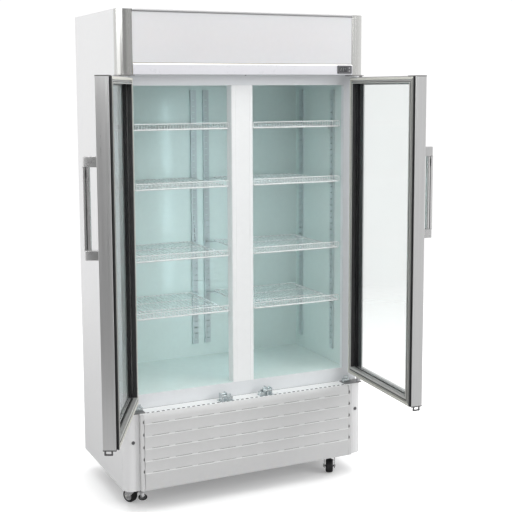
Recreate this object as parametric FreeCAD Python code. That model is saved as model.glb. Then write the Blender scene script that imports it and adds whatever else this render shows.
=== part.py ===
import FreeCAD, Part
import math
import os

# Two-door glass merchandiser on swivel casters, millimetres.
# Frame: +Z up, front faces -Y, origin on the floor under the centre of the cabinet.
# The helper coordinates below run x from the left side, y back from the header's
# front face and z up from the underside of the cabinet body.

V = FreeCAD.Vector

# ---- driving dimensions ----------------------------------------------------
WIDTH = 1000.0            # cabinet body
DEPTH = 530.0
BODY_H = 1745.0
CASTER_H = 85.0           # floor to underside of the body
SHEET = 1.2               # outer skins
FACE_Y = 53.5             # plane the door gaskets close on
HEADER_Z = 1516.0         # underside of the lit header
SIGN_Z0, SIGN_Z1 = 1558.0, 1735.5
BASE_Z = 291.0            # top of the refrigeration base
POST_W = 56.0             # corner posts beside header and base
POST_Y = 35.0
POST_R = 34.0
WALL = 46.0               # foamed wall
OPEN_X = 62.0             # door opening, inset from each side
OPEN_Z0, OPEN_Z1 = 345.0, 1478.0
BACK_Y = 481.0            # liner at the back
CEIL_Z = 1696.0
MULLION_W = 88.0
MULLION_D = 42.0

DOOR_W = 495.0
DOOR_T = 43.5
DOOR_Z0, DOOR_Z1 = 328.5, 1508.5
DOOR_SIDE = 2.0           # door edge in from the cabinet side
PIVOT_W, PIVOT_T = 10.0, 9.0
RAIL = 30.0
LEFT_OPEN = 116.0         # how far each door stands open, degrees
RIGHT_OPEN = 86.0

SHELF_Z = (620.0, 834.0, 1098.0, 1315.0)
SHELF_W = 378.0
SHELF_Y0, SHELF_Y1 = 62.0, 468.0

WHEEL_R = 27.0
WHEEL_B = 30.0
TRAIL = 32.0
CASTERS = {               # pivot x, pivot y, heading of the wheel from the pivot
    "front_left": (72.0, 92.0, 120.0),
    "front_right": (897.0, 82.0, 240.5),
    "rear_left": (90.0, 432.0, 28.0),
    "rear_right": (910.0, 432.0, 62.0),
}

OX, OY, OZ = -WIDTH / 2, -DEPTH / 2, CASTER_H


def P(x, y, z):
    return V(x + OX, y + OY, z + OZ)


def box(x0, x1, y0, y1, z0, z1):
    return Part.makeBox(x1 - x0, y1 - y0, z1 - z0, P(x0, y0, z0))


def cyl(x, y, z, r, h, axis=(0, 0, 1)):
    return Part.makeCylinder(r, h, P(x, y, z), V(*axis))


def prism_z(pts, z0, z1):
    w = Part.makePolygon([P(a, b, z0) for a, b in pts] + [P(*pts[0], z0)])
    return Part.Face(w).extrude(V(0, 0, z1 - z0))


def prism_x(pts, x0, x1):
    w = Part.makePolygon([P(x0, a, b) for a, b in pts] + [P(x0, *pts[0])])
    return Part.Face(w).extrude(V(x1 - x0, 0, 0))


def fuse(shapes):
    s = shapes[0].multiFuse(shapes[1:]) if len(shapes) > 1 else shapes[0]
    return s.removeSplitter()


def mirror(s):
    return s.mirror(V(0, 0, 0), V(1, 0, 0))


def fillet(s, r, pick):
    es = [e for e in s.Edges if pick(e)]
    return s.makeFillet(r, es) if es else s


def along(e, axis):
    if not isinstance(e.Curve, (Part.Line, Part.LineSegment)):
        return False
    d = e.tangentAt(e.FirstParameter)
    return abs(abs(d.dot(V(*axis))) - 1) < 1e-6


NODES = {}


def put(name, *solids):
    out = []
    for s in solids:
        out += s.Solids
    bad = [s for s in out if not s.isValid() or s.Volume <= 0]
    if bad:
        print("CHECK", name, len(bad), "bad solids")
    NODES[name] = Part.makeCompound(out) if len(out) > 1 else out[0]


# ---- outer cabinet ---------------------------------------------------------
side_pts = [
    (POST_Y, 0), (DEPTH - SHEET, 0), (DEPTH - SHEET, BODY_H - SHEET), (POST_Y, BODY_H - SHEET),
    (POST_Y, HEADER_Z), (FACE_Y, HEADER_Z), (FACE_Y, BASE_Z), (POST_Y, BASE_Z),
]
side = prism_x(side_pts, 0, SHEET)
put("side_panel_left", side)
put("side_panel_right", mirror(side))

top = box(0, WIDTH, 0, DEPTH, BODY_H - SHEET, BODY_H)
top = fillet(top, POST_R, lambda e: along(e, (0, 0, 1)) and e.CenterOfMass.y < OY + 5)
put("top_panel", top)
put("back_panel", box(SHEET, WIDTH - SHEET, DEPTH - SHEET, DEPTH, 300, BODY_H - SHEET))


def post_section(z0, z1, cap):
    """rounded corner post: 2 mm wall, open towards the back, closed by a cap at one end"""
    def outline(off, back):
        r = POST_R - off
        x0, x1, y0 = off, POST_W - off, off
        a = P(x0, back, z0)
        b = P(x0, y0 + r, z0)
        m = P(x0 + r - r * math.cos(math.pi / 4), y0 + r - r * math.sin(math.pi / 4), z0)
        c = P(x0 + r, y0, z0)
        d = P(x1, y0, z0)
        e = P(x1, back, z0)
        w = Part.Wire([
            Part.LineSegment(a, b).toShape(), Part.Arc(b, m, c).toShape(),
            Part.LineSegment(c, d).toShape(), Part.LineSegment(d, e).toShape(),
            Part.LineSegment(e, a).toShape()])
        return Part.Face(w).extrude(V(0, 0, z1 - z0))
    s = outline(0.0, POST_Y).cut(outline(2.0, POST_Y + 1))
    plate = outline(0.0, POST_Y)
    if cap == "top":
        plate = plate.common(box(-5, 100, -5, 100, z1 - 2, z1))
    else:
        plate = plate.common(box(-5, 100, -5, 100, z0, z0 + 2))
    return fuse([s, plate])


up = post_section(HEADER_Z, BODY_H - SHEET, "bottom")
low = post_section(0, BASE_Z, "top")
screw_hole = cyl(32, -2, 185, 3.2, 8, (0, 1, 0))
low = low.cut(screw_hole)
put("upper_posts", up, mirror(up))
put("lower_posts", low, mirror(low))

# ---- foam and liner ---------------------------------------------------------
F0 = FACE_Y + SHEET
put("insulation_foam",
    box(SHEET, WALL, F0, DEPTH - SHEET, 296, BODY_H - SHEET),
    box(WIDTH - WALL, WIDTH - SHEET, F0, DEPTH - SHEET, 296, BODY_H - SHEET),
    box(WALL, WIDTH - WALL, BACK_Y + 1, DEPTH - SHEET, 296, BODY_H - SHEET),
    box(WALL, WIDTH - WALL, F0, BACK_Y + 1, CEIL_Z + 1, BODY_H - SHEET),
    box(WALL, WIDTH - WALL, F0, BACK_Y + 1, 296, OPEN_Z0 - 1),
    box(WALL + 1, WIDTH - WALL - 1, F0, 96, OPEN_Z1 + 1.2, CEIL_Z))
liner = box(WALL, WIDTH - WALL, F0, BACK_Y + 1, OPEN_Z0 - 1, CEIL_Z + 1)
liner = liner.cut(box(WALL + 1, WIDTH - WALL - 1, F0 - 1, BACK_Y, OPEN_Z0, CEIL_Z))
liner = fuse([liner, box(WALL + 1, WIDTH - WALL - 1, 96, 97, OPEN_Z1 + 1.2, CEIL_Z)])
put("inner_liner", liner)

# ---- front frame around the opening -----------------------------------------
OX1 = WIDTH - OPEN_X
stile = fuse([box(SHEET, OPEN_X, FACE_Y, F0, BASE_Z, HEADER_Z),
              box(OPEN_X - SHEET, OPEN_X, F0, 72, OPEN_Z0, OPEN_Z1)])
rail = fuse([box(OPEN_X, OX1, FACE_Y, F0, OPEN_Z1, HEADER_Z),
             box(OPEN_X, OX1, F0, 96, OPEN_Z1, OPEN_Z1 + SHEET)])
sill = box(OPEN_X, OX1, FACE_Y, F0, BASE_Z, OPEN_Z0)
put("face_frame", stile, mirror(stile), rail, sill)

MC = WIDTH / 2
mull = box(MC - MULLION_W / 2, MC + MULLION_W / 2, FACE_Y - 0.7, FACE_Y + MULLION_D, OPEN_Z0, OPEN_Z1)
mull = fillet(mull, 3.0, lambda e: along(e, (0, 0, 1)) and e.CenterOfMass.y < FACE_Y + OY + 3)
put("centre_mullion", mull)

# ---- header -------------------------------------------------------------------
HX0, HX1 = POST_W + 0.5, WIDTH - POST_W - 0.5
put("header_sign_panel", box(HX0, HX1, 2, 5, SIGN_Z0, SIGN_Z1))
put("header_top_trim", fuse([
    box(HX0, HX1, -2, 9, 1737.5, BODY_H - SHEET),
    box(HX0, HX1, 6, 9, 1724, 1738)]))
DX0, DX1, DZ0, DZ1 = 877.0, 939.0, 1521.5, 1552.5     # temperature display
strip = fuse([
    box(HX0, HX1, -3, -1, HEADER_Z, 1556.5),
    box(HX0, HX1, -3, FACE_Y - 0.2, HEADER_Z, HEADER_Z + 2),
    box(HX0, HX1, -3, 9, 1554.5, 1556.5)])
strip = strip.cut(box(DX0 + 3, DX1 - 3, -5, 0, DZ0 + 3.5, DZ1 - 3))
put("header_lower_strip", strip)
tube = fuse([cyl(110, 34, 1648, 8, 780, (1, 0, 0)), cyl(96, 34, 1648, 10, 14, (1, 0, 0)),
             cyl(890, 34, 1648, 10, 14, (1, 0, 0)),
             box(98, 110, 34, F0, 1642, 1654), box(890, 902, 34, F0, 1642, 1654)])
put("header_light_tube", tube)

# display with two keys
hous = fuse([box(DX0, DX1, -6.5, -3, DZ0, DZ1), box(DX0 + 4, DX1 - 4, -3, 30, DZ0 + 4.5, DZ1 - 4)])
hous = hous.cut(box(DX0 + 7, DX0 + 41, -7, -5.3, DZ0 + 6, DZ1 - 6))
KX, KZ1, KZ0 = DX1 - 11, DZ1 - 10, DZ0 + 9.5
for kz in (KZ0, KZ1):
    hous = hous.cut(cyl(KX, -7, kz, 3.4, 12, (0, 1, 0)))
put("display_housing", hous)
put("display_lens", box(DX0 + 7, DX0 + 41, -6.3, -5.3, DZ0 + 6, DZ1 - 6))


def key(kz):
    k = cyl(KX, -7.6, kz, 3.1, 8.0, (0, 1, 0))
    return k


put("display_key_up", key(KZ1))
put("display_key_down", key(KZ0))

# ---- refrigeration base ---------------------------------------------------------
pan = fuse([box(SHEET, WIDTH - SHEET, 5, DEPTH - SHEET, 0, 2),
            box(SHEET, SHEET + 1.5, 40, DEPTH - SHEET, 2, 22),
            box(WIDTH - SHEET - 1.5, WIDTH - SHEET, 40, DEPTH - SHEET, 2, 22)])
for cx, cy, _ in CASTERS.values():
    pan = pan.cut(cyl(cx, cy, -1, 8, 5))
for x0 in (-1.0, WIDTH - 56.4):
    pan = pan.cut(box(x0, x0 + 57.4, 0, 35.4, -1, 3))      # clear of the corner posts
put("base_pan", pan)

GX0, GX1 = 71.0, 929.0
GRILLE_LINES = (289.5, 253.5, 206.0, 158.5, 112.5, 66.5, 2.0)
gp = [(-6.0, 2.0), (-16.5, 2.0)]
for a in GRILLE_LINES[::-1][1:-1]:
    # each band leans out towards its head and ends in a small shelf
    gp += [(-20.0, a - 1.0), (-19.2, a), (-15.0, a + 0.6)]
gp += [(-15.2, 272.0), (-7.2, 289.5), (-6.0, 289.5)]
grille = prism_x(gp, GX0, GX1)
slots = []
for a in GRILLE_LINES[1:-1]:
    for k in range(9):
        x0 = 100 + k * 90.0
        slots.append(box(x0, x0 + 66, -18.5, 0, a + 1.4, a + 2.8))
grille = grille.cut(Part.makeCompound(slots))
trim_l = box(57, 70.2, -17, -6, 2, 289.5)
for a in GRILLE_LINES[1:-1]:
    trim_l = trim_l.cut(cyl(72.5, -19, a + 8, 8.0, 7, (0, 1, 0)))
trim_l = fuse([trim_l, box(57, 72, -9, -6, 2, 289.5)])
grille = fuse([grille, trim_l, mirror(trim_l),
               box(57, WIDTH - 57, -9, 5, 2, 4)])
put("front_grille", grille)

ledge = box(57, WIDTH - 57, -7.4, FACE_Y, 289.6, BASE_Z)
ledge = fuse([ledge, box(57, WIDTH - 57, FACE_Y - SHEET, FACE_Y, 240, 289.6)])
slots = []
for k in range(42):
    x0 = 84 + k * 20.0
    slots.append(box(x0, x0 + 11, -6.2, 2.8, 285, 295))
ledge = ledge.cut(Part.makeCompound(slots))
put("ledge_cover", ledge)


def screw(x, y, z, r, ax):
    """low domed cap on a shank that points along ax"""
    a = V(*ax)
    base = P(x, y, z)
    head = Part.makeCylinder(r, 2.0, base - a * 2.0, a)
    head = head.fuse(Part.makeCylinder(r * 0.7, 0.9, base - a * 2.9, a))
    shank = Part.makeCylinder(r * 0.42, 6.0, base, a)
    return head.fuse(shank).removeSplitter()


screws = []
for x in (32.0, WIDTH - 32.0):
    screws.append(screw(x, 0, 185, 6.5, (0, 1, 0)))
for x in (66.0, 500.0, 934.0):
    screws.append(screw(x, 20, HEADER_Z, 3.0, (0, 0, 1)))
put("cover_screws", *screws)
for x in (66.0, 500.0, 934.0):
    NODES["header_lower_strip"] = NODES["header_lower_strip"].cut(cyl(x, 20, HEADER_Z - 1, 1.3, 5))

rg = box(SHEET, WIDTH - SHEET, DEPTH - SHEET, DEPTH, 0, 299.5)
slots = []
for r in range(9):
    for k in range(4):
        x0 = 90 + k * 215.0
        slots.append(box(x0, x0 + 175, DEPTH - 3, DEPTH + 1, 90 + r * 20, 98 + r * 20))
GLX, GLZ = 910.0, 45.0
rg = rg.cut(Part.makeCompound(slots)).cut(cyl(GLX, DEPTH - 5, GLZ, 9.0, 8, (0, 1, 0)))
put("rear_grille", rg)
gl = fuse([cyl(GLX, DEPTH - 10, GLZ, 8.9, 14, (0, 1, 0)), cyl(GLX, DEPTH, GLZ, 13, 4, (0, 1, 0)),
           cyl(GLX, DEPTH - 5.2, GLZ, 12, 4.0, (0, 1, 0))])
gl = gl.cut(cyl(GLX, DEPTH - 20, GLZ, 4.25, 40, (0, 1, 0)))
put("cord_gland", gl)

# compressor on its foot plate
cp = fuse([cyl(270, 340, 24, 78, 118), cyl(270, 340, 142, 70, 26)])
cp = fillet(cp, 14.0, lambda e: abs(e.CenterOfMass.z - (OZ + 168)) < 0.5 and not along(e, (0, 0, 1)))
cp = fuse([cp, box(170, 370, 300, 380, 20, 24), box(343, 372, 310, 370, 50, 112),
           cyl(186, 316, 2, 9, 18), cyl(354, 316, 2, 9, 18), cyl(186, 364, 2, 9, 18),
           cyl(354, 364, 2, 9, 18), cyl(300, 300, 160, 5, 50), cyl(245, 395, 160, 5, 50)])
put("compressor", cp)

# condenser: fin pack, shroud, motor on its arms
fins = [box(560 + k * 12.0, 562 + k * 12.0, 70, 118, 14, 262) for k in range(26)]
rows = [cyl(556, y, z, 4, 308, (1, 0, 0)) for y in (82, 106) for z in (40, 90, 140, 190, 240)]
shroud = box(556, 864, 118, 120, 4, 268).cut(cyl(710, 110, 140, 104, 20, (0, 1, 0)))
ring = cyl(710, 120, 140, 106, 30, (0, 1, 0)).cut(cyl(710, 119, 140, 104, 32, (0, 1, 0)))
arms = [box(597, 823, 152, 156, 134, 146), box(704, 716, 152, 156, 30, 250)]
spider = fuse(arms + [cyl(710, 152, 140, 30, 4, (0, 1, 0))])
motor = cyl(710, 156, 140, 34, 52, (0, 1, 0))
ears = [box(600, 606, 120, 156, 134, 146), box(814, 820, 120, 156, 134, 146)]
cond = fuse(fins + rows + [shroud, ring] + ears + [spider, motor,
            box(556, 864, 66, 120, 4, 14)])
cond = cond.cut(cyl(710, 140, 140, 4.05, 40, (0, 1, 0)))
put("condenser_unit", cond)


def fan(cx, cy, cz, r, axis, depth, n, shaft_len, shaft_r):
    """hub, shaft and pitched blades about a local +Z axis, then turned onto the axis"""
    hub = Part.makeCylinder(r * 0.24, depth, V(0, 0, -depth / 2))
    shaft = Part.makeCylinder(shaft_r, shaft_len, V(0, 0, depth / 2 - 1))
    bl = []
    for k in range(n):
        b = Part.makeBox(r * 0.78, r * 0.5, 2.0, V(r * 0.2, -r * 0.25, -1.0))
        b.rotate(V(0, 0, 0), V(1, 0, 0), 24)
        b.rotate(V(0, 0, 0), V(0, 0, 1), 360.0 * k / n)
        bl.append(b)
    s = hub.multiFuse(bl + [shaft]).removeSplitter()
    s = s.common(Part.makeCylinder(r, 400, V(0, 0, -200)))
    if axis == "y":
        s.rotate(V(0, 0, 0), V(1, 0, 0), -90)
    s.translate(P(cx, cy, cz))
    return s


put("condenser_fan", fan(710, 134, 140, 96, "y", 24, 5, 30, 4.0))

# ---- evaporator in the roof space -----------------------------------------------
EX0, EX1, EY0, EY1, EZ0, EZ1 = 150.0, 850.0, 112.0, 470.0, 1492.0, CEIL_Z
ec = box(EX0, EX1, EY0, EY1, EZ0, EZ1).cut(box(EX0 + 1.2, EX1 - 1.2, EY0 + 1.2, EY1 - 1.2, EZ0 + 1.2, EZ1 + 5))
ec = ec.cut(cyl(500, 215, EZ0 - 2, 82, 6))
slots = [box(200 + k * 40.0, 226 + k * 40.0, 380, 450, EZ0 - 2, EZ0 + 3) for k in range(15)]
ec = ec.cut(Part.makeCompound(slots))
ec = fuse([ec, box(494, 506, 132, 298, EZ0 - 3, EZ0), box(417, 583, 209, 221, EZ0 - 3, EZ0),
           cyl(500, 215, EZ0 - 3, 16, 3)])
ec = ec.cut(cyl(500, 215, EZ0 - 10, 3.05, 12))
put("evaporator_cover", ec)
fins = [box(200 + k * 15.0, 202 + k * 15.0, 330, 430, 1560, 1660) for k in range(41)]
rows = [cyl(190, y, z, 4.5, 620, (1, 0, 0)) for y in (350, 380, 410) for z in (1580, 1610, 1640)]
ends = [box(188, 191, 322, 438, 1552, CEIL_Z), box(809, 812, 322, 438, 1552, CEIL_Z)]
put("evaporator_coil", fuse(fins + rows + ends + [box(188, 812, 322, 438, 1552, 1554)]))
ef = fan(500, 215, EZ0 + 20, 74, "z", 18, 5, 6, 3.0)
ef = fuse([ef, cyl(500, 215, EZ0 - 2.6, 3.0, 16)])
put("evaporator_fan", ef)

# ---- light and shelf furniture ---------------------------------------------------
MB = FACE_Y + MULLION_D
put("interior_light", box(491, 509, MB, MB + 12, 420, 1420))
PIL_Z0, PIL_Z1 = 400.0, 1460.0


def pilaster(w, d):
    """channel strip standing on a wall: local x across, y out of the wall"""
    s = Part.makeBox(w, d, PIL_Z1 - PIL_Z0, V(-w / 2, -d, 0))
    s = s.cut(Part.makeBox(w - 3, d, PIL_Z1 - PIL_Z0 + 2, V(-w / 2 + 1.5, -d + 1.5, -1)))
    cuts = [Part.makeBox(12, 4, 3.6, V(-6, -d - 1, 18 + k * 25.0)) for k in range(41)]
    return s.cut(Part.makeCompound(cuts))


pils = []
PIL = pilaster(25.0, 8.0)


def place(s, rot, x, y, z):
    c = s.copy()
    c.rotate(V(0, 0, 0), V(0, 0, 1), rot)
    c.translate(P(x, y, z))
    return c


LX = WALL + 1
for rot, x, y in ((0, 472.5, BACK_Y), (0, 527.5, BACK_Y), (180, 472.5, MB), (180, 527.5, MB),
                  (90, LX, 160), (90, LX, 430), (-90, WIDTH - LX, 160), (-90, WIDTH - LX, 430)):
    pils.append(place(PIL, rot, x, y, PIL_Z0))
put("shelf_pilasters", *pils)

# one wire shelf, its left front foot corner at the local origin
SD = SHELF_Y1 - SHELF_Y0


def bx(x0, x1, y0, y1, z0, z1):
    return Part.makeBox(x1 - x0, y1 - y0, z1 - z0, V(x0, y0, z0))


parts = [bx(0, SHELF_W, 0, 6, 0, 6), bx(0, SHELF_W, SD - 6, SD, 0, 6),
         bx(0, 6, 0, SD, 0, 6), bx(SHELF_W - 6, SHELF_W, 0, SD, 0, 6),
         bx(0, SHELF_W, SD / 3 - 3, SD / 3 + 3, 0, 5), bx(0, SHELF_W, 2 * SD / 3 - 3, 2 * SD / 3 + 3, 0, 5),
         bx(0, SHELF_W, 0, 4, 22, 26), bx(0, 4, 0, 4, 0, 26), bx(SHELF_W - 4, SHELF_W, 0, 4, 0, 26)]
n = 15
for k in range(1, n):
    x = SHELF_W * k / n
    parts.append(bx(x - 1.8, x + 1.8, 0, SD, 2.5, 6.0))
n = 30
for k in range(1, n):
    x = SHELF_W * k / n
    parts.append(bx(x - 1.4, x + 1.4, 0.4, 3.4, 3, 24))
SHELF = fuse(parts)
SLX, SRX = 72.0, WIDTH - 72.0 - SHELF_W
left, right = [], []
for z in SHELF_Z:
    for x, lst in ((SLX, left), (SRX, right)):
        c = SHELF.copy()
        c.translate(P(x, SHELF_Y0, z))
        lst.append(c)
put("shelves_left", *left)
put("shelves_right", *right)

clips = []
for z in SHELF_Z:
    for y in (160.0, 430.0):
        a = fuse([box(LX + 8, LX + 33, y - 6, y + 6, z - 3, z), box(LX + 8, LX + 10, y - 6, y + 6, z - 16, z),
                  box(LX + 8, LX + 26, y - 1.5, y + 1.5, z - 12, z)])
        clips += [a, mirror(a)]
    for y0, y1 in ((BACK_Y - 30, BACK_Y - 8), (MB + 8, MB + 26)):
        a = fuse([box(444, 480, y0, y1, z - 3, z),
                  box(466, 480, (y1 - 2) if y1 > 300 else y0, y1 if y1 > 300 else y0 + 2, z - 16, z)])
        clips += [a, mirror(a)]
put("shelf_clips", *clips)

# ---- doors ------------------------------------------------------------------------
DW, DT = DOOR_W, DOOR_T


def dbox(w0, w1, t0, t1, z0, z1):
    """closed left door: w across from the hinge edge, t in from the outer face"""
    return box(DOOR_SIDE + w0, DOOR_SIDE + w1, t0, t1, z0, z1)


def ring_box(a, b, t0, t1):
    """rectangular ring between inset a and inset b"""
    return dbox(a, DW - a, t0, t1, DOOR_Z0 + a, DOOR_Z1 - a).cut(
        dbox(b, DW - b, t0 - 1, t1 + 1, DOOR_Z0 + b, DOOR_Z1 - b))


frame = dbox(0, DW, 0, DT, DOOR_Z0, DOOR_Z1)
frame = frame.cut(dbox(RAIL, DW - RAIL, -1, DT + 1, DOOR_Z0 + RAIL, DOOR_Z1 - RAIL))
frame = frame.cut(dbox(16, DW - 16, 14, DT + 1, DOOR_Z0 + 16, DOOR_Z1 - 16))
PX, PY = DOOR_SIDE + PIVOT_W, PIVOT_T
frame = frame.cut(cyl(PX, PY, DOOR_Z0 - 1, 5.3, 25)).cut(cyl(PX, PY, DOOR_Z1 - 22, 5.3, 24))
panes = [dbox(17, DW - 17, 14.3, 18.3, DOOR_Z0 + 17, DOOR_Z1 - 17),
         ring_box(17, 26, 18.3, 30.3),
         dbox(17, DW - 17, 30.3, 34.3, DOOR_Z0 + 17, DOOR_Z1 - 17)]
# inner trim: 26 wide at the hinge and top, wider along the free stile and the foot
trim = dbox(16.3, DW - 16.3, 34.6, 52.6, DOOR_Z0 + 16.3, DOOR_Z1 - 16.3).cut(
    dbox(26, DW - 33, 33.6, 53.6, DOOR_Z0 + 32, DOOR_Z1 - 26))
gasket = ring_box(3.0, 13.0, DT, 52.6)
hasp = dbox(481, 485, 3, 31, 310, DOOR_Z0).cut(dbox(480, 486, 8.5, 25.5, 315, 324))
hasp = fuse([hasp, dbox(470, 490, 6, 28, DOOR_Z0 - 2.0, DOOR_Z0)])
# handle: channel bar between two blocks near the free edge
HW0, HW1 = 444.0, 466.0
HZ0, HZ1 = 934.0, 1260.0
bar = dbox(447, 463, -50.5, -27.5, HZ0 + 32, HZ1 - 34)
bar = fillet(bar, 3.0, lambda e: along(e, (0, 0, 1)))
bar = bar.cut(dbox(460.5, 464, -40.5, -37.5, HZ0 + 40, HZ1 - 42))
blk = []
for z0, z1 in ((HZ0, HZ0 + 32), (HZ1 - 34, HZ1)):
    b = dbox(HW0, HW1, -47.5, 0, z0, z1)
    b = fillet(b, 4.0, lambda e: along(e, (0, 0, 1)) and e.CenterOfMass.y < OY - 40)
    blk.append(b)

PIVL = P(PX, PY, 0)
PIVR = V(-PIVL.x, PIVL.y, PIVL.z)


def swing(s, side):
    c = s.copy() if side == "left" else mirror(s)
    if side == "left":
        c.rotate(PIVL, V(0, 0, 1), -LEFT_OPEN)
    else:
        c.rotate(PIVR, V(0, 0, 1), RIGHT_OPEN)
    return c


for side in ("left", "right"):
    put("door_frame_" + side, swing(frame, side))
    put("door_glass_" + side, *[swing(s, side) for s in panes])
    put("door_trim_" + side, swing(trim, side))
    put("door_gasket_" + side, swing(gasket, side))
    put("door_hasp_" + side, swing(hasp, side))
    put("door_handle_" + side, *[swing(s, side) for s in [bar] + blk])

# hinge brackets: plate with boss and pin below, plate and pin above
lowb = fuse([box(4, 80, -4, 44, BASE_Z, BASE_Z + 3), cyl(PX, PY, BASE_Z, 7.8, DOOR_Z0 - 2 - BASE_Z),
             cyl(PX, PY, BASE_Z, 5.0, DOOR_Z0 + 20 - BASE_Z),
             box(46, 76, 16, 30, BASE_Z, 308), box(52, 70, 20, 26, 308, 318)])
upb = fuse([box(4, 62, -1, 44, HEADER_Z - 3, HEADER_Z), cyl(PX, PY, DOOR_Z1 - 18, 5.0, HEADER_Z - DOOR_Z1 + 18)])
put("hinge_brackets", lowb, mirror(lowb), upb, mirror(upb))

kp = fuse([box(376, 434, -4, 30, BASE_Z, BASE_Z + 2), box(384, 387, -2, 26, BASE_Z, 320),
           box(404, 407, -2, 26, BASE_Z, 324), cyl(384, 7, 309, 6.5, 36, (1, 0, 0)),
           cyl(384, 20, 314, 4.5, 30, (1, 0, 0)), box(414, 432, 4, 24, BASE_Z, 305),
           cyl(424, 14, 305, 5.0, 9)])
kr = mirror(kp)
kr.translate(V(-20, 0, 0))
put("lock_keepers", kp, kr)

# ---- casters -------------------------------------------------------------------------
def caster(pos):
    """plate, fork with axle, wheel and pedal about a pivot at the local origin; wheel trails along +X"""
    az = -CASTER_H + WHEEL_R
    plate = Part.makeBox(66, 66, 3, V(-33, -33, -3))
    plate = plate.cut(Part.makeCylinder(6.1, 6, V(0, 0, -4)))
    for sx in (-25, 25):
        for sy in (-25, 25):
            plate = plate.cut(Part.makeCylinder(3.4, 6, V(sx, sy, -4)))
            plate = plate.fuse(Part.makeCylinder(3.4, 6.5, V(sx, sy, -5)))
    plate = plate.removeSplitter()
    stud = Part.makeCylinder(6.0, 10, V(0, 0, -9))
    head = Part.makeCylinder(23, 8, V(0, 0, -12.3))
    cap = Part.makeCylinder(19, 3, V(0, 0, -14.5))
    hb = WHEEL_B / 2 + 4.0
    legs = []
    for s in (1, -1):
        y = s * hb + (0 if s > 0 else -3.0)
        w = Part.makePolygon([V(-18, y, -12.3), V(20, y, -12.3), V(TRAIL + 8, y, az + 8), V(TRAIL + 8, y, az - 8),
                              V(TRAIL - 8, y, az - 8), V(-16, y, -22), V(-18, y, -12.3)])
        legs.append(Part.Face(w).extrude(V(0, 3.0, 0)))
    yoke = Part.makeBox(38, 2 * hb + 6, 3, V(-18, -hb - 3.0, -15.3))
    axle = Part.makeCylinder(4.0, 2 * hb + 9, V(TRAIL, -hb - 4.5, az), V(0, 1, 0))
    pin = Part.makeCylinder(2.5, 2 * hb + 1, V(-12, -hb - 0.5, -26), V(0, 1, 0))
    lugs = [Part.makeBox(12, 3.0, 18, V(-18, y, -30)) for y in (-hb - 3.0, hb)]
    forkset = [head, stud, cap, yoke, axle] + legs
    if pos.startswith("front"):
        forkset += [pin] + lugs
    fork = forkset[0].multiFuse(forkset[1:]).removeSplitter()
    tyre = Part.makeCylinder(WHEEL_R, WHEEL_B, V(TRAIL, -WHEEL_B / 2, az), V(0, 1, 0))
    tyre = tyre.makeFillet(8.0, [e for e in tyre.Edges if isinstance(e.Curve, Part.Circle)])
    for s in (-1, 1):
        y = s * WHEEL_B / 2
        tyre = tyre.cut(Part.makeCylinder(17.5, 5, V(TRAIL, y - (5 if s > 0 else 0), az), V(0, 1, 0)))
        tyre = tyre.fuse(Part.makeCylinder(9, 6, V(TRAIL, y - (6 if s > 0 else 0), az), V(0, 1, 0)))
    tyre = tyre.cut(Part.makeCylinder(4.3, WHEEL_B + 12, V(TRAIL, -WHEEL_B / 2 - 6, az), V(0, 1, 0))).removeSplitter()
    # brake pedal on the leading side of the head: an arm down to a tilted oval pad
    pw = 15.0
    hubp = Part.makeCylinder(5.5, 2 * pw, V(-12, -pw, -26), V(0, 1, 0))
    w = Part.makePolygon([V(-14, -9, -22), V(-21, -9, -25), V(-34, -9, -46), V(-30, -9, -49),
                          V(-19, -9, -31), V(-12, -9, -31), V(-14, -9, -22)])
    arm = Part.Face(w).extrude(V(0, 18, 0))
    pad = Part.makeCylinder(17.0, 4.5, V(-30.2, 0, -52.6), V(-0.766, 0, 0.643))
    pedal = hubp.fuse([arm, pad]).cut(Part.makeCylinder(2.8, 2 * pw + 2, V(-12, -pw - 1, -26), V(0, 1, 0))).removeSplitter()
    return plate, fork, tyre, pedal


plates = []
for pos, (cx, cy, head) in CASTERS.items():
    plate, fork, tyre, pedal = caster(pos)
    plate = plate.copy()
    plate.translate(P(cx, cy, 0))
    plates.append(plate)
    for nm, s in (("caster_fork_", fork), ("caster_wheel_", tyre), ("caster_pedal_", pedal)):
        if nm == "caster_pedal_" and not pos.startswith("front"):
            continue
        c = s.copy()
        c.rotate(V(0, 0, 0), V(0, 0, 1), head)
        c.translate(P(cx, cy, 0))
        put(nm + pos, c)
for cx, cy, _ in CASTERS.values():
    for sx in (-25, 25):
        for sy in (-25, 25):
            NODES["base_pan"] = NODES["base_pan"].cut(cyl(cx + sx, cy + sy, -1, 3.45, 5))
put("caster_plates", *plates)

# ---- export -----------------------------------------------------------------------------
os.makedirs("parts", exist_ok=True)
for name, shape in NODES.items():
    shape.exportStep("parts/%s.step" % name)
bb = None
for name, shape in NODES.items():
    bb = shape.BoundBox if bb is None else bb.united(shape.BoundBox)
print(len(NODES), "nodes", "x %.1f..%.1f y %.1f..%.1f z %.1f..%.1f" % (bb.XMin, bb.XMax, bb.YMin, bb.YMax, bb.ZMin, bb.ZMax))
for name, shape in NODES.items():
    print("%-24s solids %2d vol %10.0f" % (name, len(shape.Solids), shape.Volume))
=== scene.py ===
import bpy
import bmesh
import math
from mathutils import Matrix, Vector


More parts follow.
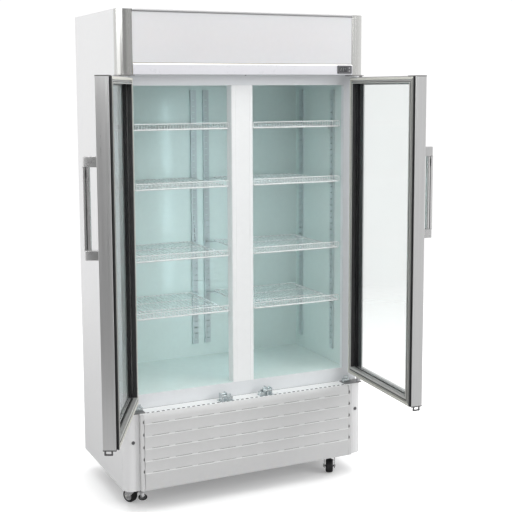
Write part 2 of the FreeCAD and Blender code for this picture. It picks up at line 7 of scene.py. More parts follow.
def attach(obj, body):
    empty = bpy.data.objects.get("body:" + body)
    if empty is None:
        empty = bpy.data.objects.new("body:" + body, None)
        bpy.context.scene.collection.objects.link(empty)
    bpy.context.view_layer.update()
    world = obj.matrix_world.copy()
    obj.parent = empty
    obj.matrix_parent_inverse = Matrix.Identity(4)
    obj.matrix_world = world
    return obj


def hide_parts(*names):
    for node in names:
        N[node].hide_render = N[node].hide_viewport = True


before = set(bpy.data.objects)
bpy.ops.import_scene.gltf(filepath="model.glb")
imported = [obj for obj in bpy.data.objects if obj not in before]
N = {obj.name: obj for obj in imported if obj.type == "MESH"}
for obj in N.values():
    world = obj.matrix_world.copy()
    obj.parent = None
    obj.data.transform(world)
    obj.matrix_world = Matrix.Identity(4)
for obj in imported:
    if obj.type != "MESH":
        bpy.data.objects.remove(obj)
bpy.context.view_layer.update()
SC = bpy.context.scene

# ------------------------------------------------------------------ coordinates
# Millimetres: x from the cabinet's left side, y back from the header's face, z up
# from the underside of the body. P gives metres in the row frame.
CX, CY, CZ = 500.0, 265.0, 85.0


def P(x, y, z):
    return Vector(((x - CX) / 1000, (y - CY) / 1000, (z + CZ) / 1000))


def door_map(side):
    """door coordinates (w from the hinge edge, t in from the outer face, z) to metres at rest"""
    a = math.radians(-116.0 if side == "left" else 86.0)
    ca, sa = math.cos(a), math.sin(a)
    px, py = (12.0 if side == "left" else 988.0), 9.0

    def f(w, t, z):
        x, y = 2.0 + w, t
        if side == "right":
            x = 1000.0 - x
        dx, dy = x - px, y - py
        return P(px + dx * ca - dy * sa, py + dx * sa + dy * ca, z)

    return f


CASTER = {"front_left": (72.0, 92.0, 120.0), "front_right": (897.0, 82.0, 240.5),
          "rear_left": (90.0, 432.0, 28.0), "rear_right": (910.0, 432.0, 62.0)}


def caster_map(pos):
    cx, cy, h = CASTER[pos]
    ca, sa = math.cos(math.radians(h)), math.sin(math.radians(h))

    def f(x, y, z):
        return P(cx + x * ca - y * sa, cy + x * sa + y * ca, z)

    return f


# ------------------------------------------------------------------ mesh builder
def insets(ins):
    """four functions that stretch a 26 wide profile beyond its first 17.5 to each side's own width"""
    def one(w):
        return lambda i: i if i <= 17.5 else 17.5 + (i - 17.5) * (w - 17.5) / 8.5
    return [one(w) for w in (ins or (26.0, 26.0, 26.0, 26.0))]


class G:
    """collects vertices and faces in local millimetres; m is the material slot"""

    def __init__(self):
        self.v, self.f, self.m = [], [], []

    def add(self, vs, fs, m=0):
        o = len(self.v)
        self.v += [tuple(p) for p in vs]
        self.f += [[i + o for i in f] for f in fs]
        self.m += [m] * len(fs)
        return self

    def box(self, x0, x1, y0, y1, z0, z1, m=0):
        vs = [(x, y, z) for z in (z0, z1) for y in (y0, y1) for x in (x0, x1)]
        return self.add(vs, [[0, 2, 3, 1], [4, 5, 7, 6], [0, 1, 5, 4], [2, 6, 7, 3], [0, 4, 6, 2], [1, 3, 7, 5]], m)

    def prism(self, pts, axis, a0, a1, m=0):
        """closed polygon pulled along an axis; pts are the other two coordinates in order"""
        def at(p, a):
            return {"x": (a, p[0], p[1]), "y": (p[0], a, p[1]), "z": (p[0], p[1], a)}[axis]
        n = len(pts)
        vs = [at(p, a0) for p in pts] + [at(p, a1) for p in pts]
        fs = [[i, (i + 1) % n, n + (i + 1) % n, n + i] for i in range(n)]
        fs += [list(range(n))[::-1], list(range(n, 2 * n))]
        return self.add(vs, fs, m)

    def lathe(self, c, axis, prof, n=32, m=0):
        """profile of (height, radius) turned about the axis through c; closed at both ends"""
        ax = Vector(axis).normalized()
        u = ax.orthogonal().normalized()
        w = ax.cross(u)
        c = Vector(c)
        vs, fs = [], []
        for h, r in prof:
            for k in range(n):
                a = 2 * math.pi * k / n
                vs.append(c + ax * h + (u * math.cos(a) + w * math.sin(a)) * r)
        k = len(prof)
        for j in range(k - 1):
            for i in range(n):
                i2 = (i + 1) % n
                fs.append([j * n + i, j * n + i2, (j + 1) * n + i2, (j + 1) * n + i])
        fs.append([i for i in range(n)][::-1])
        fs.append([(k - 1) * n + i for i in range(n)])
        return self.add(vs, fs, m)

    def ringlathe(self, c, axis, prof, n=32, m=0):
        """closed profile loop of (height, radius) turned into a ring"""
        ax = Vector(axis).normalized()
        u = ax.orthogonal().normalized()
        w = ax.cross(u)
        c = Vector(c)
        vs, fs = [], []
        for h, r in prof:
            for k in range(n):
                a = 2 * math.pi * k / n
                vs.append(c + ax * h + (u * math.cos(a) + w * math.sin(a)) * r)
        k = len(prof)
        for j in range(k):
            j2 = (j + 1) % k
            for i in range(n):
                i2 = (i + 1) % n
                fs.append([j * n + i, j * n + i2, j2 * n + i2, j2 * n + i])
        return self.add(vs, fs, m)

    def tube(self, pts, r, n=8, m=0, closed=False):
        """round wire along a line of points"""
        p = [Vector(q) for q in pts]
        k = len(p)
        vs, fs = [], []
        up = None
        for i in range(k):
            a = p[(i - 1) % k] if (closed or i > 0) else p[i]
            b = p[(i + 1) % k] if (closed or i < k - 1) else p[i]
            d = (b - a).normalized()
            if up is None:
                up = d.orthogonal().normalized()
            up = (up - d * up.dot(d)).normalized()
            s = d.cross(up)
            # keep the wire's width through a bend
            e = 1.0
            if 0 < i < k - 1 or closed:
                d1 = (p[i] - a).normalized()
                e = 1.0 / max(0.5, d1.dot(d))
            for j in range(n):
                t = 2 * math.pi * j / n
                vs.append(p[i] + (up * math.cos(t) + s * math.sin(t)) * r * (1 + (e - 1) * 0.5))
        for i in range(k if closed else k - 1):
            i2 = (i + 1) % k
            for j in range(n):
                j2 = (j + 1) % n
                fs.append([i * n + j, i * n + j2, i2 * n + j2, i2 * n + j])
        if not closed:
            fs.append([j for j in range(n)][::-1])
            fs.append([(k - 1) * n + j for j in range(n)])
        return self.add(vs, fs, m)

    def ring(self, prof, wd, z0, z1, mv=0, mh=0, gap=0.0, seg=None, ins=None):
        """four mitred rails with the profile of (inset, depth) points, round a wd wide opening frame;
        ins gives the inner insets at the hinge, top, free side and foot for a profile drawn 26 wide"""
        n = len(prof)
        g = gap
        h, u, f, b = insets(ins)
        sides = [
            (mv, [[(h(i), t, z0 + b(i) + g) for i, t in prof], [(h(i), t, z1 - u(i) - g) for i, t in prof]]),
            (mh, [[(h(i) + g, t, z1 - u(i)) for i, t in prof], [(wd - f(i) - g, t, z1 - u(i)) for i, t in prof]]),
            (mv, [[(wd - f(i), t, z1 - u(i) - g) for i, t in prof], [(wd - f(i), t, z0 + b(i) + g) for i, t in prof]]),
            (mh, [[(wd - f(i) - g, t, z0 + b(i)) for i, t in prof], [(h(i) + g, t, z0 + b(i)) for i, t in prof]])]
        for m, (a, b) in sides:
            o = len(self.v)
            self.v += a + b
            for i in range(n):
                j = (i + 1) % n
                self.f.append([o + i, o + j, o + n + j, o + n + i])
                self.m.append(seg[i] if seg else m)
            self.f.append([o + i for i in range(n)][::-1])
            self.f.append([o + n + i for i in range(n)])
            self.m += [m, m]
        return self

    def loop(self, prof, wd, z0, z1, m=0, seg=None, ins=None, mside=None):
        """the same ring as one closed band without mitre joints; mside gives a material slot for each side"""
        n = len(prof)
        o = len(self.v)
        h, u, f, b = insets(ins)
        for ring in ([(h(i), t, z0 + b(i)) for i, t in prof], [(h(i), t, z1 - u(i)) for i, t in prof],
                     [(wd - f(i), t, z1 - u(i)) for i, t in prof], [(wd - f(i), t, z0 + b(i)) for i, t in prof]):
            self.v += ring
        for s in range(4):
            s2 = (s + 1) % 4
            for i in range(n):
                j = (i + 1) % n
                self.f.append([o + s * n + i, o + s * n + j, o + s2 * n + j, o + s2 * n + i])
                k = seg[i] if seg else 1
                self.m.append(mside[s] if (mside and k == 1) else (k if seg else m))
        return self

    def screw(self, c, axis, r=4.0, h=2.0, m=0, md=1):
        """low pan head with a cross recess; the cross is drawn as black bars, painted shade in the recess"""
        ax = Vector(axis).normalized()
        self.lathe(c, ax, [(0, r), (h * 0.35, r), (h * 0.75, r * 0.86), (h, r * 0.5), (h, r * 0.01)], 20, m)
        u = ax.orthogonal().normalized()
        w = ax.cross(u)
        b = Vector(c) + ax * (h - 0.25)
        for p, q in ((u, w), (w, u)):
            vs = [b + p * s1 * r * 0.5 + q * s2 * r * 0.1 + ax * k * 0.32
                  for k in (0, 1) for s2 in (-1, 1) for s1 in (-1, 1)]
            self.add(vs, [[0, 2, 3, 1], [4, 5, 7, 6], [0, 1, 5, 4], [2, 6, 7, 3], [0, 4, 6, 2], [1, 3, 7, 5]], md)
        return self


def arc(cx, cy, r, a0, a1, n):
    return [(cx + r * math.cos(math.radians(a0 + (a1 - a0) * k / n)),
             cy + r * math.sin(math.radians(a0 + (a1 - a0) * k / n))) for k in range(n + 1)]


def rrect(x0, x1, y0, y1, r, n=4):
    return (arc(x1 - r, y1 - r, r, 0, 90, n) + arc(x0 + r, y1 - r, r, 90, 180, n)
            + arc(x0 + r, y0 + r, r, 180, 270, n) + arc(x1 - r, y0 + r, r, 270, 360, n))


def make(name, g, mats, body, to=P, replaces=(), bevel=None, seg=2, sharp=35.0, limit=32.0):
    me = bpy.data.meshes.new(name)
    me.from_pydata([to(*p) for p in g.v], [], g.f)
    for i, p in enumerate(me.polygons):
        p.material_index = g.m[i]
    bm = bmesh.new()
    bm.from_mesh(me)
    bmesh.ops.recalc_face_normals(bm, faces=bm.faces)
    lim = math.radians(sharp)
    for f in bm.faces:
        f.smooth = True
    if not bevel:
        for e in bm.edges:
            if len(e.link_faces) == 2 and e.calc_face_angle(0.0) > lim:
                e.smooth = False
    bm.to_mesh(me)
    bm.free()
    ob = bpy.data.objects.new(name, me)
    SC.collection.objects.link(ob)
    for m in (mats if isinstance(mats, (list, tuple)) else [mats]):
        me.materials.append(m)
    if bevel:
        b = ob.modifiers.new("edges", "BEVEL")
        b.width = bevel / 1000
        b.segments = seg
        b.limit_method = "ANGLE"
        b.angle_limit = math.radians(limit)
        b.harden_normals = True
        b.use_clamp_overlap = True
    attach(ob, body)
    if replaces:
        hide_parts(*replaces)
    return ob


def dress(name, mat, bevel=0.5, seg=2, weld=True, limit=32.0):
    """material and eased edges for a CAD node that stays"""
    ob = N[name]
    ob.data.materials.clear()
    ob.data.materials.append(mat)
    if bevel:
        if weld:
            w = ob.modifiers.new("weld", "WELD")
            w.merge_threshold = 0.00002
        d = ob.modifiers.new("planar", "DECIMATE")
        d.decimate_type = "DISSOLVE"
        d.angle_limit = math.radians(1.0)
        b = ob.modifiers.new("edges", "BEVEL")
        b.width = bevel / 1000
        b.segments = seg
        b.limit_method = "ANGLE"
        b.angle_limit = math.radians(limit)
        b.harden_normals = True
    return ob


# ------------------------------------------------------------------ materials
def _tree(name):
    m = bpy.data.materials.new(name)
    m.use_nodes = True
    t = m.node_tree
    t.nodes.clear()
    out = t.nodes.new("ShaderNodeOutputMaterial")
    return m, t, out


def _noise(t, co, scale, detail=4.0, rough=0.5, stretch=None, dist=0.0):
    mp = None
    if stretch:
        mp = t.nodes.new("ShaderNodeMapping")
        mp.inputs["Scale"].default_value = stretch
        t.links.new(co, mp.inputs["Vector"])
        co = mp.outputs["Vector"]
    n = t.nodes.new("ShaderNodeTexNoise")
    n.inputs["Scale"].default_value = scale
    n.inputs["Detail"].default_value = detail
    n.inputs["Roughness"].default_value = rough
    n.inputs["Distortion"].default_value = dist
    t.links.new(co, n.inputs["Vector"])
    return n.outputs["Fac"]


def _range(t, v, a, b, c, d):
    r = t.nodes.new("ShaderNodeMapRange")
    r.inputs["From Min"].default_value = a
    r.inputs["From Max"].default_value = b
    r.inputs["To Min"].default_value = c
    r.inputs["To Max"].default_value = d
    t.links.new(v, r.inputs["Value"])
    return r.outputs["Result"]


def _mix(t, fac, a, b, mode="MIX"):
    x = t.nodes.new("ShaderNodeMix")
    x.data_type = "RGBA"
    x.blend_type = mode
    for key, val in (("Factor", fac), ("A", a), ("B", b)):
        s = [i for i in x.inputs if i.name == key and (i.type == "RGBA" if key != "Factor" else i.type == "VALUE")][0]
        if isinstance(val, bpy.types.NodeSocket):
            t.links.new(val, s)
        elif key == "Factor":
            s.default_value = val
        else:
            s.default_value = (*val[:3], 1.0)
    return [o for o in x.outputs if o.type == "RGBA"][0]


def pbr(name, col, rough=0.4, metal=0.0, var=0.03, vscale=5.0, rvar=0.06, rscale=30.0, bump=0.05,
        bscale=600.0, bdist=0.0002, stretch=None, coat=0.0, spec=0.5, tint=None, tscale=1.3, speck=0.0,
        emit=None, estr=0.0, wave=0.0, coat_rough=0.08, sheen=0.0, aniso=0.0, sub=0.0, trans=0.0):
    m, t, out = _tree(name)
    b = t.nodes.new("ShaderNodeBsdfPrincipled")
    tc = t.nodes.new("ShaderNodeTexCoord")
    co = tc.outputs["Object"]
    # colour: broad drift, a finer mottling, and faint specks
    broad = _noise(t, co, tscale, 3.0)
    fine = _noise(t, co, vscale * 10, 6.0, 0.6, stretch)
    lo = [c * (1 - var) for c in col]
    hi = [min(1.0, c * (1 + var)) for c in col]
    c1 = _mix(t, _range(t, fine, 0.3, 0.7, 0.0, 1.0), lo, hi)
    t2 = tint or [c * (1 - var * 0.8) for c in col]
    c2 = _mix(t, _range(t, broad, 0.35, 0.7, 0.0, 0.5), c1, t2)
    if speck:
        sp = _noise(t, co, 420.0, 2.0)
        c2 = _mix(t, _range(t, sp, 0.70, 0.78, 0.0, speck), c2, [c * 0.6 for c in col])
    t.links.new(c2, b.inputs["Base Color"])
    rn = _noise(t, co, rscale, 5.0, 0.6, stretch)
    t.links.new(_range(t, rn, 0.25, 0.75, max(0.02, rough - rvar), min(1.0, rough + rvar)), b.inputs["Roughness"])
    b.inputs["Metallic"].default_value = metal
    b.inputs["Specular IOR Level"].default_value = spec
    b.inputs["Coat Weight"].default_value = coat
    b.inputs["Coat Roughness"].default_value = coat_rough
    b.inputs["Anisotropic"].default_value = aniso
    b.inputs["Sheen Weight"].default_value = sheen
    b.inputs["Subsurface Weight"].default_value = sub
    b.inputs["Transmission Weight"].default_value = trans
    if emit:
        b.inputs["Emission Color"].default_value = (*emit, 1.0)
        b.inputs["Emission Strength"].default_value = estr
    nrm = None
    if bump:
        bn = t.nodes.new("ShaderNodeBump")
        bn.inputs["Strength"].default_value = bump
        bn.inputs["Distance"].default_value = bdist
        t.links.new(_noise(t, co, bscale, 3.0, 0.5, stretch), bn.inputs["Height"])
        nrm = bn.outputs["Normal"]
    if wave:
        wn = t.nodes.new("ShaderNodeBump")
        wn.inputs["Strength"].default_value = wave
        wn.inputs["Distance"].default_value = 0.004
        t.links.new(_noise(t, co, 2.2, 1.0), wn.inputs["Height"])
        if nrm is not None:
            t.links.new(nrm, wn.inputs["Normal"])
        nrm = wn.outputs["Normal"]
    if nrm is not None:
        t.links.new(nrm, b.inputs["Normal"])
    t.links.new(b.outputs["BSDF"], out.inputs["Surface"])
    return m


WHITE = pbr("paint_white", (0.77, 0.77, 0.775), 0.34, var=0.010, rvar=0.04, bump=0.04, bscale=420, coat=0.12,
            tint=(0.755, 0.755, 0.762), tscale=1.6, wave=0.03)
WHITE_POST = pbr("post_white", (0.80, 0.80, 0.805), 0.30, metal=0.08, var=0.012, rvar=0.05, bump=0.04,
                 bscale=500, coat=0.3, stretch=(1, 1, 0.05), wave=0.02)
POST_MET = pbr("post_silver", (0.60, 0.60, 0.585), 0.20, metal=0.85, var=0.03, vscale=20, rvar=0.05, bump=0.05,
               bscale=500, coat=0.1, stretch=(1, 1, 0.02))
# the ledge's faint emission is painted light; the ledge is no lamp
LEDGE_GLOW = pbr("ledge_white_painted_light", (0.80, 0.81, 0.81), 0.34, var=0.012, rvar=0.05, bump=0.04, bscale=420, coat=0.15,
            emit=(1.0, 1.0, 1.0), estr=0.05)
MULL = pbr("mullion_white", (0.88, 0.89, 0.895), 0.34, var=0.012, bump=0.05, bscale=420, coat=0.1)
# the lip's emission is painted light; the lip is no lamp
LIP_GLOW = pbr("strip_lip_white_painted_light", (0.92, 0.92, 0.92), 0.35, var=0.010, bump=0.03, bscale=420, coat=0.1, emit=(1.0, 1.0, 1.0),
          estr=0.12)
# dark grey standing in for shade in the grille's gaps and notches and at the ledge seam: painted shade
SHADE_GREY = pbr("louvre_shadow_grey", (0.17, 0.17, 0.17), 0.6, var=0.06, bump=0.1)
# dark grey of the door end caps, also used as painted shadow in the handle joints
CAP_AND_GAP_SHADE = pbr("end_cap_and_gap_shade_grey", (0.10, 0.10, 0.10), 0.45, var=0.08, bump=0.15, bscale=900)
# near-black for the trim's groove and a strip beside the hinge: painted shade
GROOVE_BORDER_SHADE = pbr("groove_and_border_shade_grey", (0.055, 0.055, 0.056), 0.42, var=0.10, bump=0.05)
BEADGREY = pbr("bead_foot_grey", (0.22, 0.22, 0.215), 0.4, var=0.06, bump=0.08)
HASP = pbr("hasp_steel", (0.15, 0.15, 0.152), 0.26, metal=0.9, var=0.08, rvar=0.06, bump=0.05, bscale=400)
TRIM_GREY = pbr("trim_edge_grey", (0.46, 0.46, 0.465), 0.32, metal=0.6, var=0.04, stretch=(0.05, 1, 1))
# the teal in the liner's colour is painted light from the interior strip; the liner itself is white
LINER_TEAL_LIGHT = pbr("liner_white", (0.72, 0.82, 0.80), 0.22, var=0.015, rvar=0.05, bump=0.05, bscale=300, coat=0.15, wave=0.05,
            tint=(0.69, 0.80, 0.785))
FACE = pbr("face_white", (0.74, 0.76, 0.78), 0.33, var=0.015, bump=0.06, bscale=380, coat=0.1, wave=0.03)
PLASTIC = pbr("plastic_white", (0.74, 0.78, 0.78), 0.38, var=0.02, bump=0.08, bscale=700)
BACKSTEEL = pbr("galvanised_steel", (0.50, 0.51, 0.52), 0.42, metal=0.85, var=0.14, vscale=3.0, rvar=0.10, rscale=16,
                bump=0.06, bscale=90, tint=(0.43, 0.44, 0.46), tscale=9.0)
FOAM = pbr("foam_cream", (0.72, 0.64, 0.40), 0.9, var=0.12, vscale=20, bump=0.6, bscale=240, bdist=0.001)
SIGN = pbr("sign_panel", (0.55, 0.545, 0.555), 0.46, var=0.012, rvar=0.04, bump=0.03, bscale=300, coat=0.03,
           tint=(0.645, 0.64, 0.64), tscale=0.9, emit=(0.97, 0.95, 1.0), estr=0.10, sub=0.05, spec=0.3)
STRIP = pbr("strip_white", (0.69, 0.69, 0.725), 0.30, var=0.015, bump=0.05, bscale=420, coat=0.2, wave=0.02)
LED = pbr("led_diffuser", (0.85, 0.93, 0.95), 0.5, var=0.02, bump=0.05, bscale=800, emit=(0.72, 0.95, 1.0), estr=9.0)
TUBE = pbr("tube_glass", (0.88, 0.90, 0.92), 0.25, var=0.02, bump=0.0, emit=(0.9, 0.95, 1.0), estr=1.5)
BLACK = pbr("display_black", (0.088, 0.088, 0.095), 0.42, var=0.10, bump=0.25, bscale=1400, speck=0.1)
BEZEL = pbr("display_bezel", (0.17, 0.17, 0.18), 0.30, var=0.05, bump=0.05, bscale=900)
LENS = pbr("display_lens", (0.050, 0.051, 0.056), 0.42, var=0.10, rvar=0.03, bump=0.0, spec=0.25)
# unlit digits with a faint emission: painted glow
DIGIT_GLOW = pbr("display_digit", (0.26, 0.27, 0.27), 0.4, var=0.02, bump=0.0, emit=(0.55, 0.60, 0.60), estr=0.06)
KEY = pbr("key_grey", (0.30, 0.30, 0.31), 0.45, var=0.05, bump=0.15, bscale=1300)
GRILLE = pbr("grille_grey", (0.63, 0.63, 0.63), 0.42, var=0.02, rvar=0.07, bump=0.16, bscale=900, tint=(0.61, 0.61, 0.615),
             tscale=2.5)
SCREW = pbr("screw_dark", (0.16, 0.16, 0.165), 0.30, metal=0.8, var=0.10, bump=0.05, bscale=900)
SCREW_ZN = pbr("screw_zinc", (0.60, 0.60, 0.58), 0.28, metal=0.95, var=0.06, bump=0.05, bscale=900)
# near-black for slots, grooves, holes and screw recesses: painted shade
RECESS_SHADE = pbr("recess_shade_black", (0.015, 0.015, 0.015), 0.7, var=0.1, bump=0.1)
ALU_V = pbr("aluminium_upright", (0.68, 0.68, 0.68), 0.33, metal=0.85, var=0.035, vscale=30, rvar=0.07, rscale=140,
            bump=0.10, bscale=260, stretch=(1.0, 1.0, 0.012), aniso=0.3)
ALU_H = pbr("aluminium_rail", (0.66, 0.66, 0.66), 0.33, metal=0.85, var=0.035, vscale=30, rvar=0.07, rscale=140,
            bump=0.10, bscale=260, stretch=(0.05, 0.012, 1.0), aniso=0.3)
DTRIM = pbr("door_trim_grey", (0.46, 0.455, 0.435), 0.32, metal=0.2, var=0.04, rvar=0.06, bump=0.06, bscale=500,
            stretch=(1, 1, 0.3), coat=0.1)
GASKET = pbr("gasket_black", (0.018, 0.018, 0.019), 0.52, var=0.15, rvar=0.10, bump=0.3, bscale=900, sheen=0.05)
GASKET_F = pbr("gasket_face", (0.60, 0.59, 0.54), 0.45, var=0.06, rvar=0.08, bump=0.2, bscale=700)
# darker copy of the gasket face for the free side: painted shade
GASKET_FACE_SHADED = pbr("gasket_face_painted_shade", (0.22, 0.22, 0.21), 0.45, var=0.06, rvar=0.08, bump=0.2, bscale=700)
SPACER = pbr("spacer_black", (0.016, 0.016, 0.017), 0.45, metal=0.0, var=0.12, bump=0.1, bscale=700)
DASH = pbr("spacer_silver", (0.72, 0.73, 0.72), 0.30, metal=0.6, var=0.05, bump=0.05)
HANDLE = pbr("handle_aluminium", (0.70, 0.70, 0.70), 0.26, metal=0.9, var=0.03, vscale=25, rvar=0.06, rscale=120,
             bump=0.08, bscale=300, stretch=(1, 1, 0.02))
HBLOCK = pbr("handle_block", (0.52, 0.52, 0.52), 0.30, metal=0.85, var=0.03, bump=0.12, bscale=1100)
CHROME = pbr("chrome", (0.62, 0.63, 0.64), 0.14, metal=1.0, var=0.04, rvar=0.05, rscale=60, bump=0.03, bscale=400)
KEEPER = pbr("keeper_chrome", (0.60, 0.65, 0.66), 0.16, metal=1.0, var=0.05, rvar=0.06, bump=0.05, bscale=300)
BRACKET = pbr("bracket_zinc", (0.27, 0.265, 0.265), 0.36, metal=0.8, var=0.07, rvar=0.10, bump=0.10, bscale=260,
              tint=(0.22, 0.215, 0.215), tscale=30)
PINSTEEL = pbr("pin_steel", (0.62, 0.62, 0.62), 0.20, metal=1.0, var=0.05, bump=0.05)
WIRE = pbr("wire_white", (0.80, 0.82, 0.82), 0.27, var=0.02, rvar=0.05, bump=0.10, bscale=900, coat=0.3)
PILASTER = pbr("pilaster_zinc", (0.60, 0.66, 0.67), 0.33, metal=0.6, var=0.05, rvar=0.08, bump=0.06, bscale=300,
               stretch=(1, 1, 0.06))
COIL = pbr("coil_aluminium", (0.60, 0.61, 0.62), 0.35, metal=0.9, var=0.08, rvar=0.1, bump=0.08, bscale=300)
COMP = pbr("compressor_black", (0.022, 0.022, 0.024), 0.35, var=0.15, rvar=0.10, bump=0.25, bscale=500, coat=0.2)
FAN = pbr("fan_black", (0.030, 0.030, 0.032), 0.42, var=0.12, bump=0.15, bscale=700)
CSTEEL = pbr("caster_steel", (0.58, 0.58, 0.59), 0.22, metal=1.0, var=0.06, rvar=0.10, rscale=60, bump=0.06, bscale=350)
PEDAL = pbr("pedal_steel", (0.60, 0.60, 0.61), 0.24, metal=1.0, var=0.06, rvar=0.08, bump=0.08, bscale=400)
TYRE = pbr("tyre_black", (0.020, 0.020, 0.021), 0.48, var=0.2, rvar=0.12, rscale=50, bump=0.25, bscale=500)
HUB = pbr("hub_grey", (0.62, 0.62, 0.63), 0.40, var=0.04, bump=0.12, bscale=900)
GLAND = pbr("gland_black", (0.028, 0.028, 0.030), 0.5, var=0.12, bump=0.2, bscale=900)
BUSH = pbr("bush_black", (0.02, 0.02, 0.02), 0.4, var=0.1, bump=0.15, bscale=900)


def glass(name):
    """clear pane: a Fresnel mirror over a lightly tinted pass"""
    m, t, out = _tree(name)
    tc = t.nodes.new("ShaderNodeTexCoord")
    n = _noise(t, tc.outputs["Object"], 3.0, 2.0)
    col = _mix(t, _range(t, n, 0.3, 0.7, 0.0, 1.0), (0.958, 0.964, 0.962), (0.963, 0.969, 0.967))
    tr = t.nodes.new("ShaderNodeBsdfTransparent")
    t.links.new(col, tr.inputs["Color"])
    gl = t.nodes.new("ShaderNodeBsdfGlossy")
    gl.inputs["Color"].default_value = (0.95, 0.97, 0.97, 1)
    sm = _noise(t, tc.outputs["Object"], 9.0, 5.0)
    t.links.new(_range(t, sm, 0.45, 0.8, 0.015, 0.06), gl.inputs["Roughness"])
    fr = t.nodes.new("ShaderNodeFresnel")
    fr.inputs["IOR"].default_value = 1.42
    # only the near side of each pane mirrors; light leaving a pane passes straight on
    ge = t.nodes.new("ShaderNodeNewGeometry")
    inv = _range(t, ge.outputs["Backfacing"], 0.0, 1.0, 0.45, 0.0)
    ml = t.nodes.new("ShaderNodeMath")
    ml.operation = "MULTIPLY"
    t.links.new(fr.outputs["Fac"], ml.inputs[0])
    t.links.new(inv, ml.inputs[1])
    mx = t.nodes.new("ShaderNodeMixShader")
    t.links.new(ml.outputs[0], mx.inputs["Fac"])
    t.links.new(tr.outputs["BSDF"], mx.inputs[1])
    t.links.new(gl.outputs["BSDF"], mx.inputs[2])
    t.links.new(mx.outputs["Shader"], out.inputs["Surface"])
    return m


GLASS = glass("door_glass_clear")

# ------------------------------------------------------------------ outer cabinet
for s in ("left", "right"):
    dress("side_panel_" + s, WHITE, 0.4)
dress("top_panel", WHITE, 0.4)
dress("back_panel", BACKSTEEL, 0.4)
dress("rear_grille", BACKSTEEL, 0.4)
dress("base_pan", BACKSTEEL, 0.0)
dress("insulation_foam", FOAM, 0.0)
dress("inner_liner", LINER_TEAL_LIGHT, 0.0)
dress("face_frame", FACE, 0.3)


def post(g, z0, z1, mir, cap):
    """rounded corner post with two shallow flutes beside its inner edge"""
    out = [(0.0, 35.0)] + [(34 - 34 * math.cos(a), 34 - 34 * math.sin(a))
                           for a in [math.pi / 2 * k / 18 for k in range(19)]]
    out += [(41.0, 0.0), (41.5, 0.7), (42.5, 0.7), (43.0, 0.0), (51.5, 0.0), (52.0, 0.7), (53.0, 0.7), (53.5, 0.0),
            (55.4, 0.0), (56.0, 0.6), (56.0, 35.0), (54.0, 35.0), (54.0, 2.4), (34.0, 2.4)]
    out += [(34 - 31.6 * math.sin(a), 34 - 31.6 * math.cos(a)) for a in [math.pi / 2 * k / 12 for k in range(1, 13)]]
    out += [(2.4, 35.0)]
    if mir:
        out = [(1000 - x, y) for x, y in out]
    g.prism(out, "z", z0, z1)
    inner = [(2.4, 35.0)] + [(34 - 31.5 * math.cos(a), 34 - 31.5 * math.sin(a))
                             for a in [math.pi / 2 * k / 12 for k in range(13)]] + [(54.0, 2.5), (54.0, 35.0)]
    if mir:
        inner = [(1000 - x, y) for x, y in inner]
    g.prism(inner, "z", z0 if cap == "bottom" else z1 - 2, z0 + 2 if cap == "bottom" else z1)


g = G()
post(g, 1516, 1743.8, False, "bottom")
post(g, 1516, 1743.8, True, "bottom")
make("vis_upper_posts", g, POST_MET, "cabinet", replaces=["upper_posts"], sharp=28)
g = G()
post(g, 0, 291, False, "top")
post(g, 0, 291, True, "top")
make("vis_lower_posts", g, WHITE_POST, "cabinet", replaces=["lower_posts"], sharp=28)

# ------------------------------------------------------------------ header
g = G()
g.prism(rrect(56.9, 943.1, 1558.4, 1735.2, 1.5, 3), "y", 2.0, 5.0)
make("vis_sign_panel", g, SIGN, "cabinet", replaces=["header_sign_panel"], bevel=0.5)
g = G()
g.prism([(-2.0, 1738.2), (-1.4, 1737.5), (6.0, 1737.5), (6.0, 1724.0), (9.0, 1724.0), (9.0, 1743.8), (0.2, 1743.8),
         (-1.2, 1743.2), (-2.0, 1741.8)], "x", 56.5, 943.5)
make("vis_header_top_trim", g, TRIM_GREY, "cabinet", replaces=["header_top_trim"], sharp=40)
# lower strip: bull-nosed top lip, flat face, turned under to meet the face frame
g = G()
prof = [(-1.0, 1518.0), (-1.0, 1550.6), (9.0, 1554.5), (9.0, 1555.4), (0.4, 1555.4), (-2.6, 1551.6)]
prof += [(-3.0, 1551.0), (-2.2, 1551.4), (-2.2, 1550.2), (-3.0, 1549.4), (-3.0, 1518.6), (-2.8, 1517.4), (-2.2, 1516.5),
         (-1.2, 1516.0), (53.3, 1516.0), (53.3, 1518.0)]
DX0, DX1, DZ0, DZ1 = 877.0, 939.0, 1521.5, 1552.5
g.prism(prof, "x", 56.5, 943.5)
make("vis_header_lower_strip", g, STRIP, "cabinet", replaces=["header_lower_strip"], sharp=30)
g = G()
g.prism([(-3.0, 1551.3), (-3.0, 1552.2), (-2.5, 1553.4), (-1.2, 1555.4), (0.2, 1556.3), (1.6, 1556.5), (9.0, 1556.5),
         (9.0, 1555.5), (0.4, 1555.5), (-2.6, 1551.7)], "x", 56.5, 943.5)
make("vis_header_strip_lip", g, LIP_GLOW, "cabinet", sharp=40)
dress("header_light_tube", TUBE, 0.0)

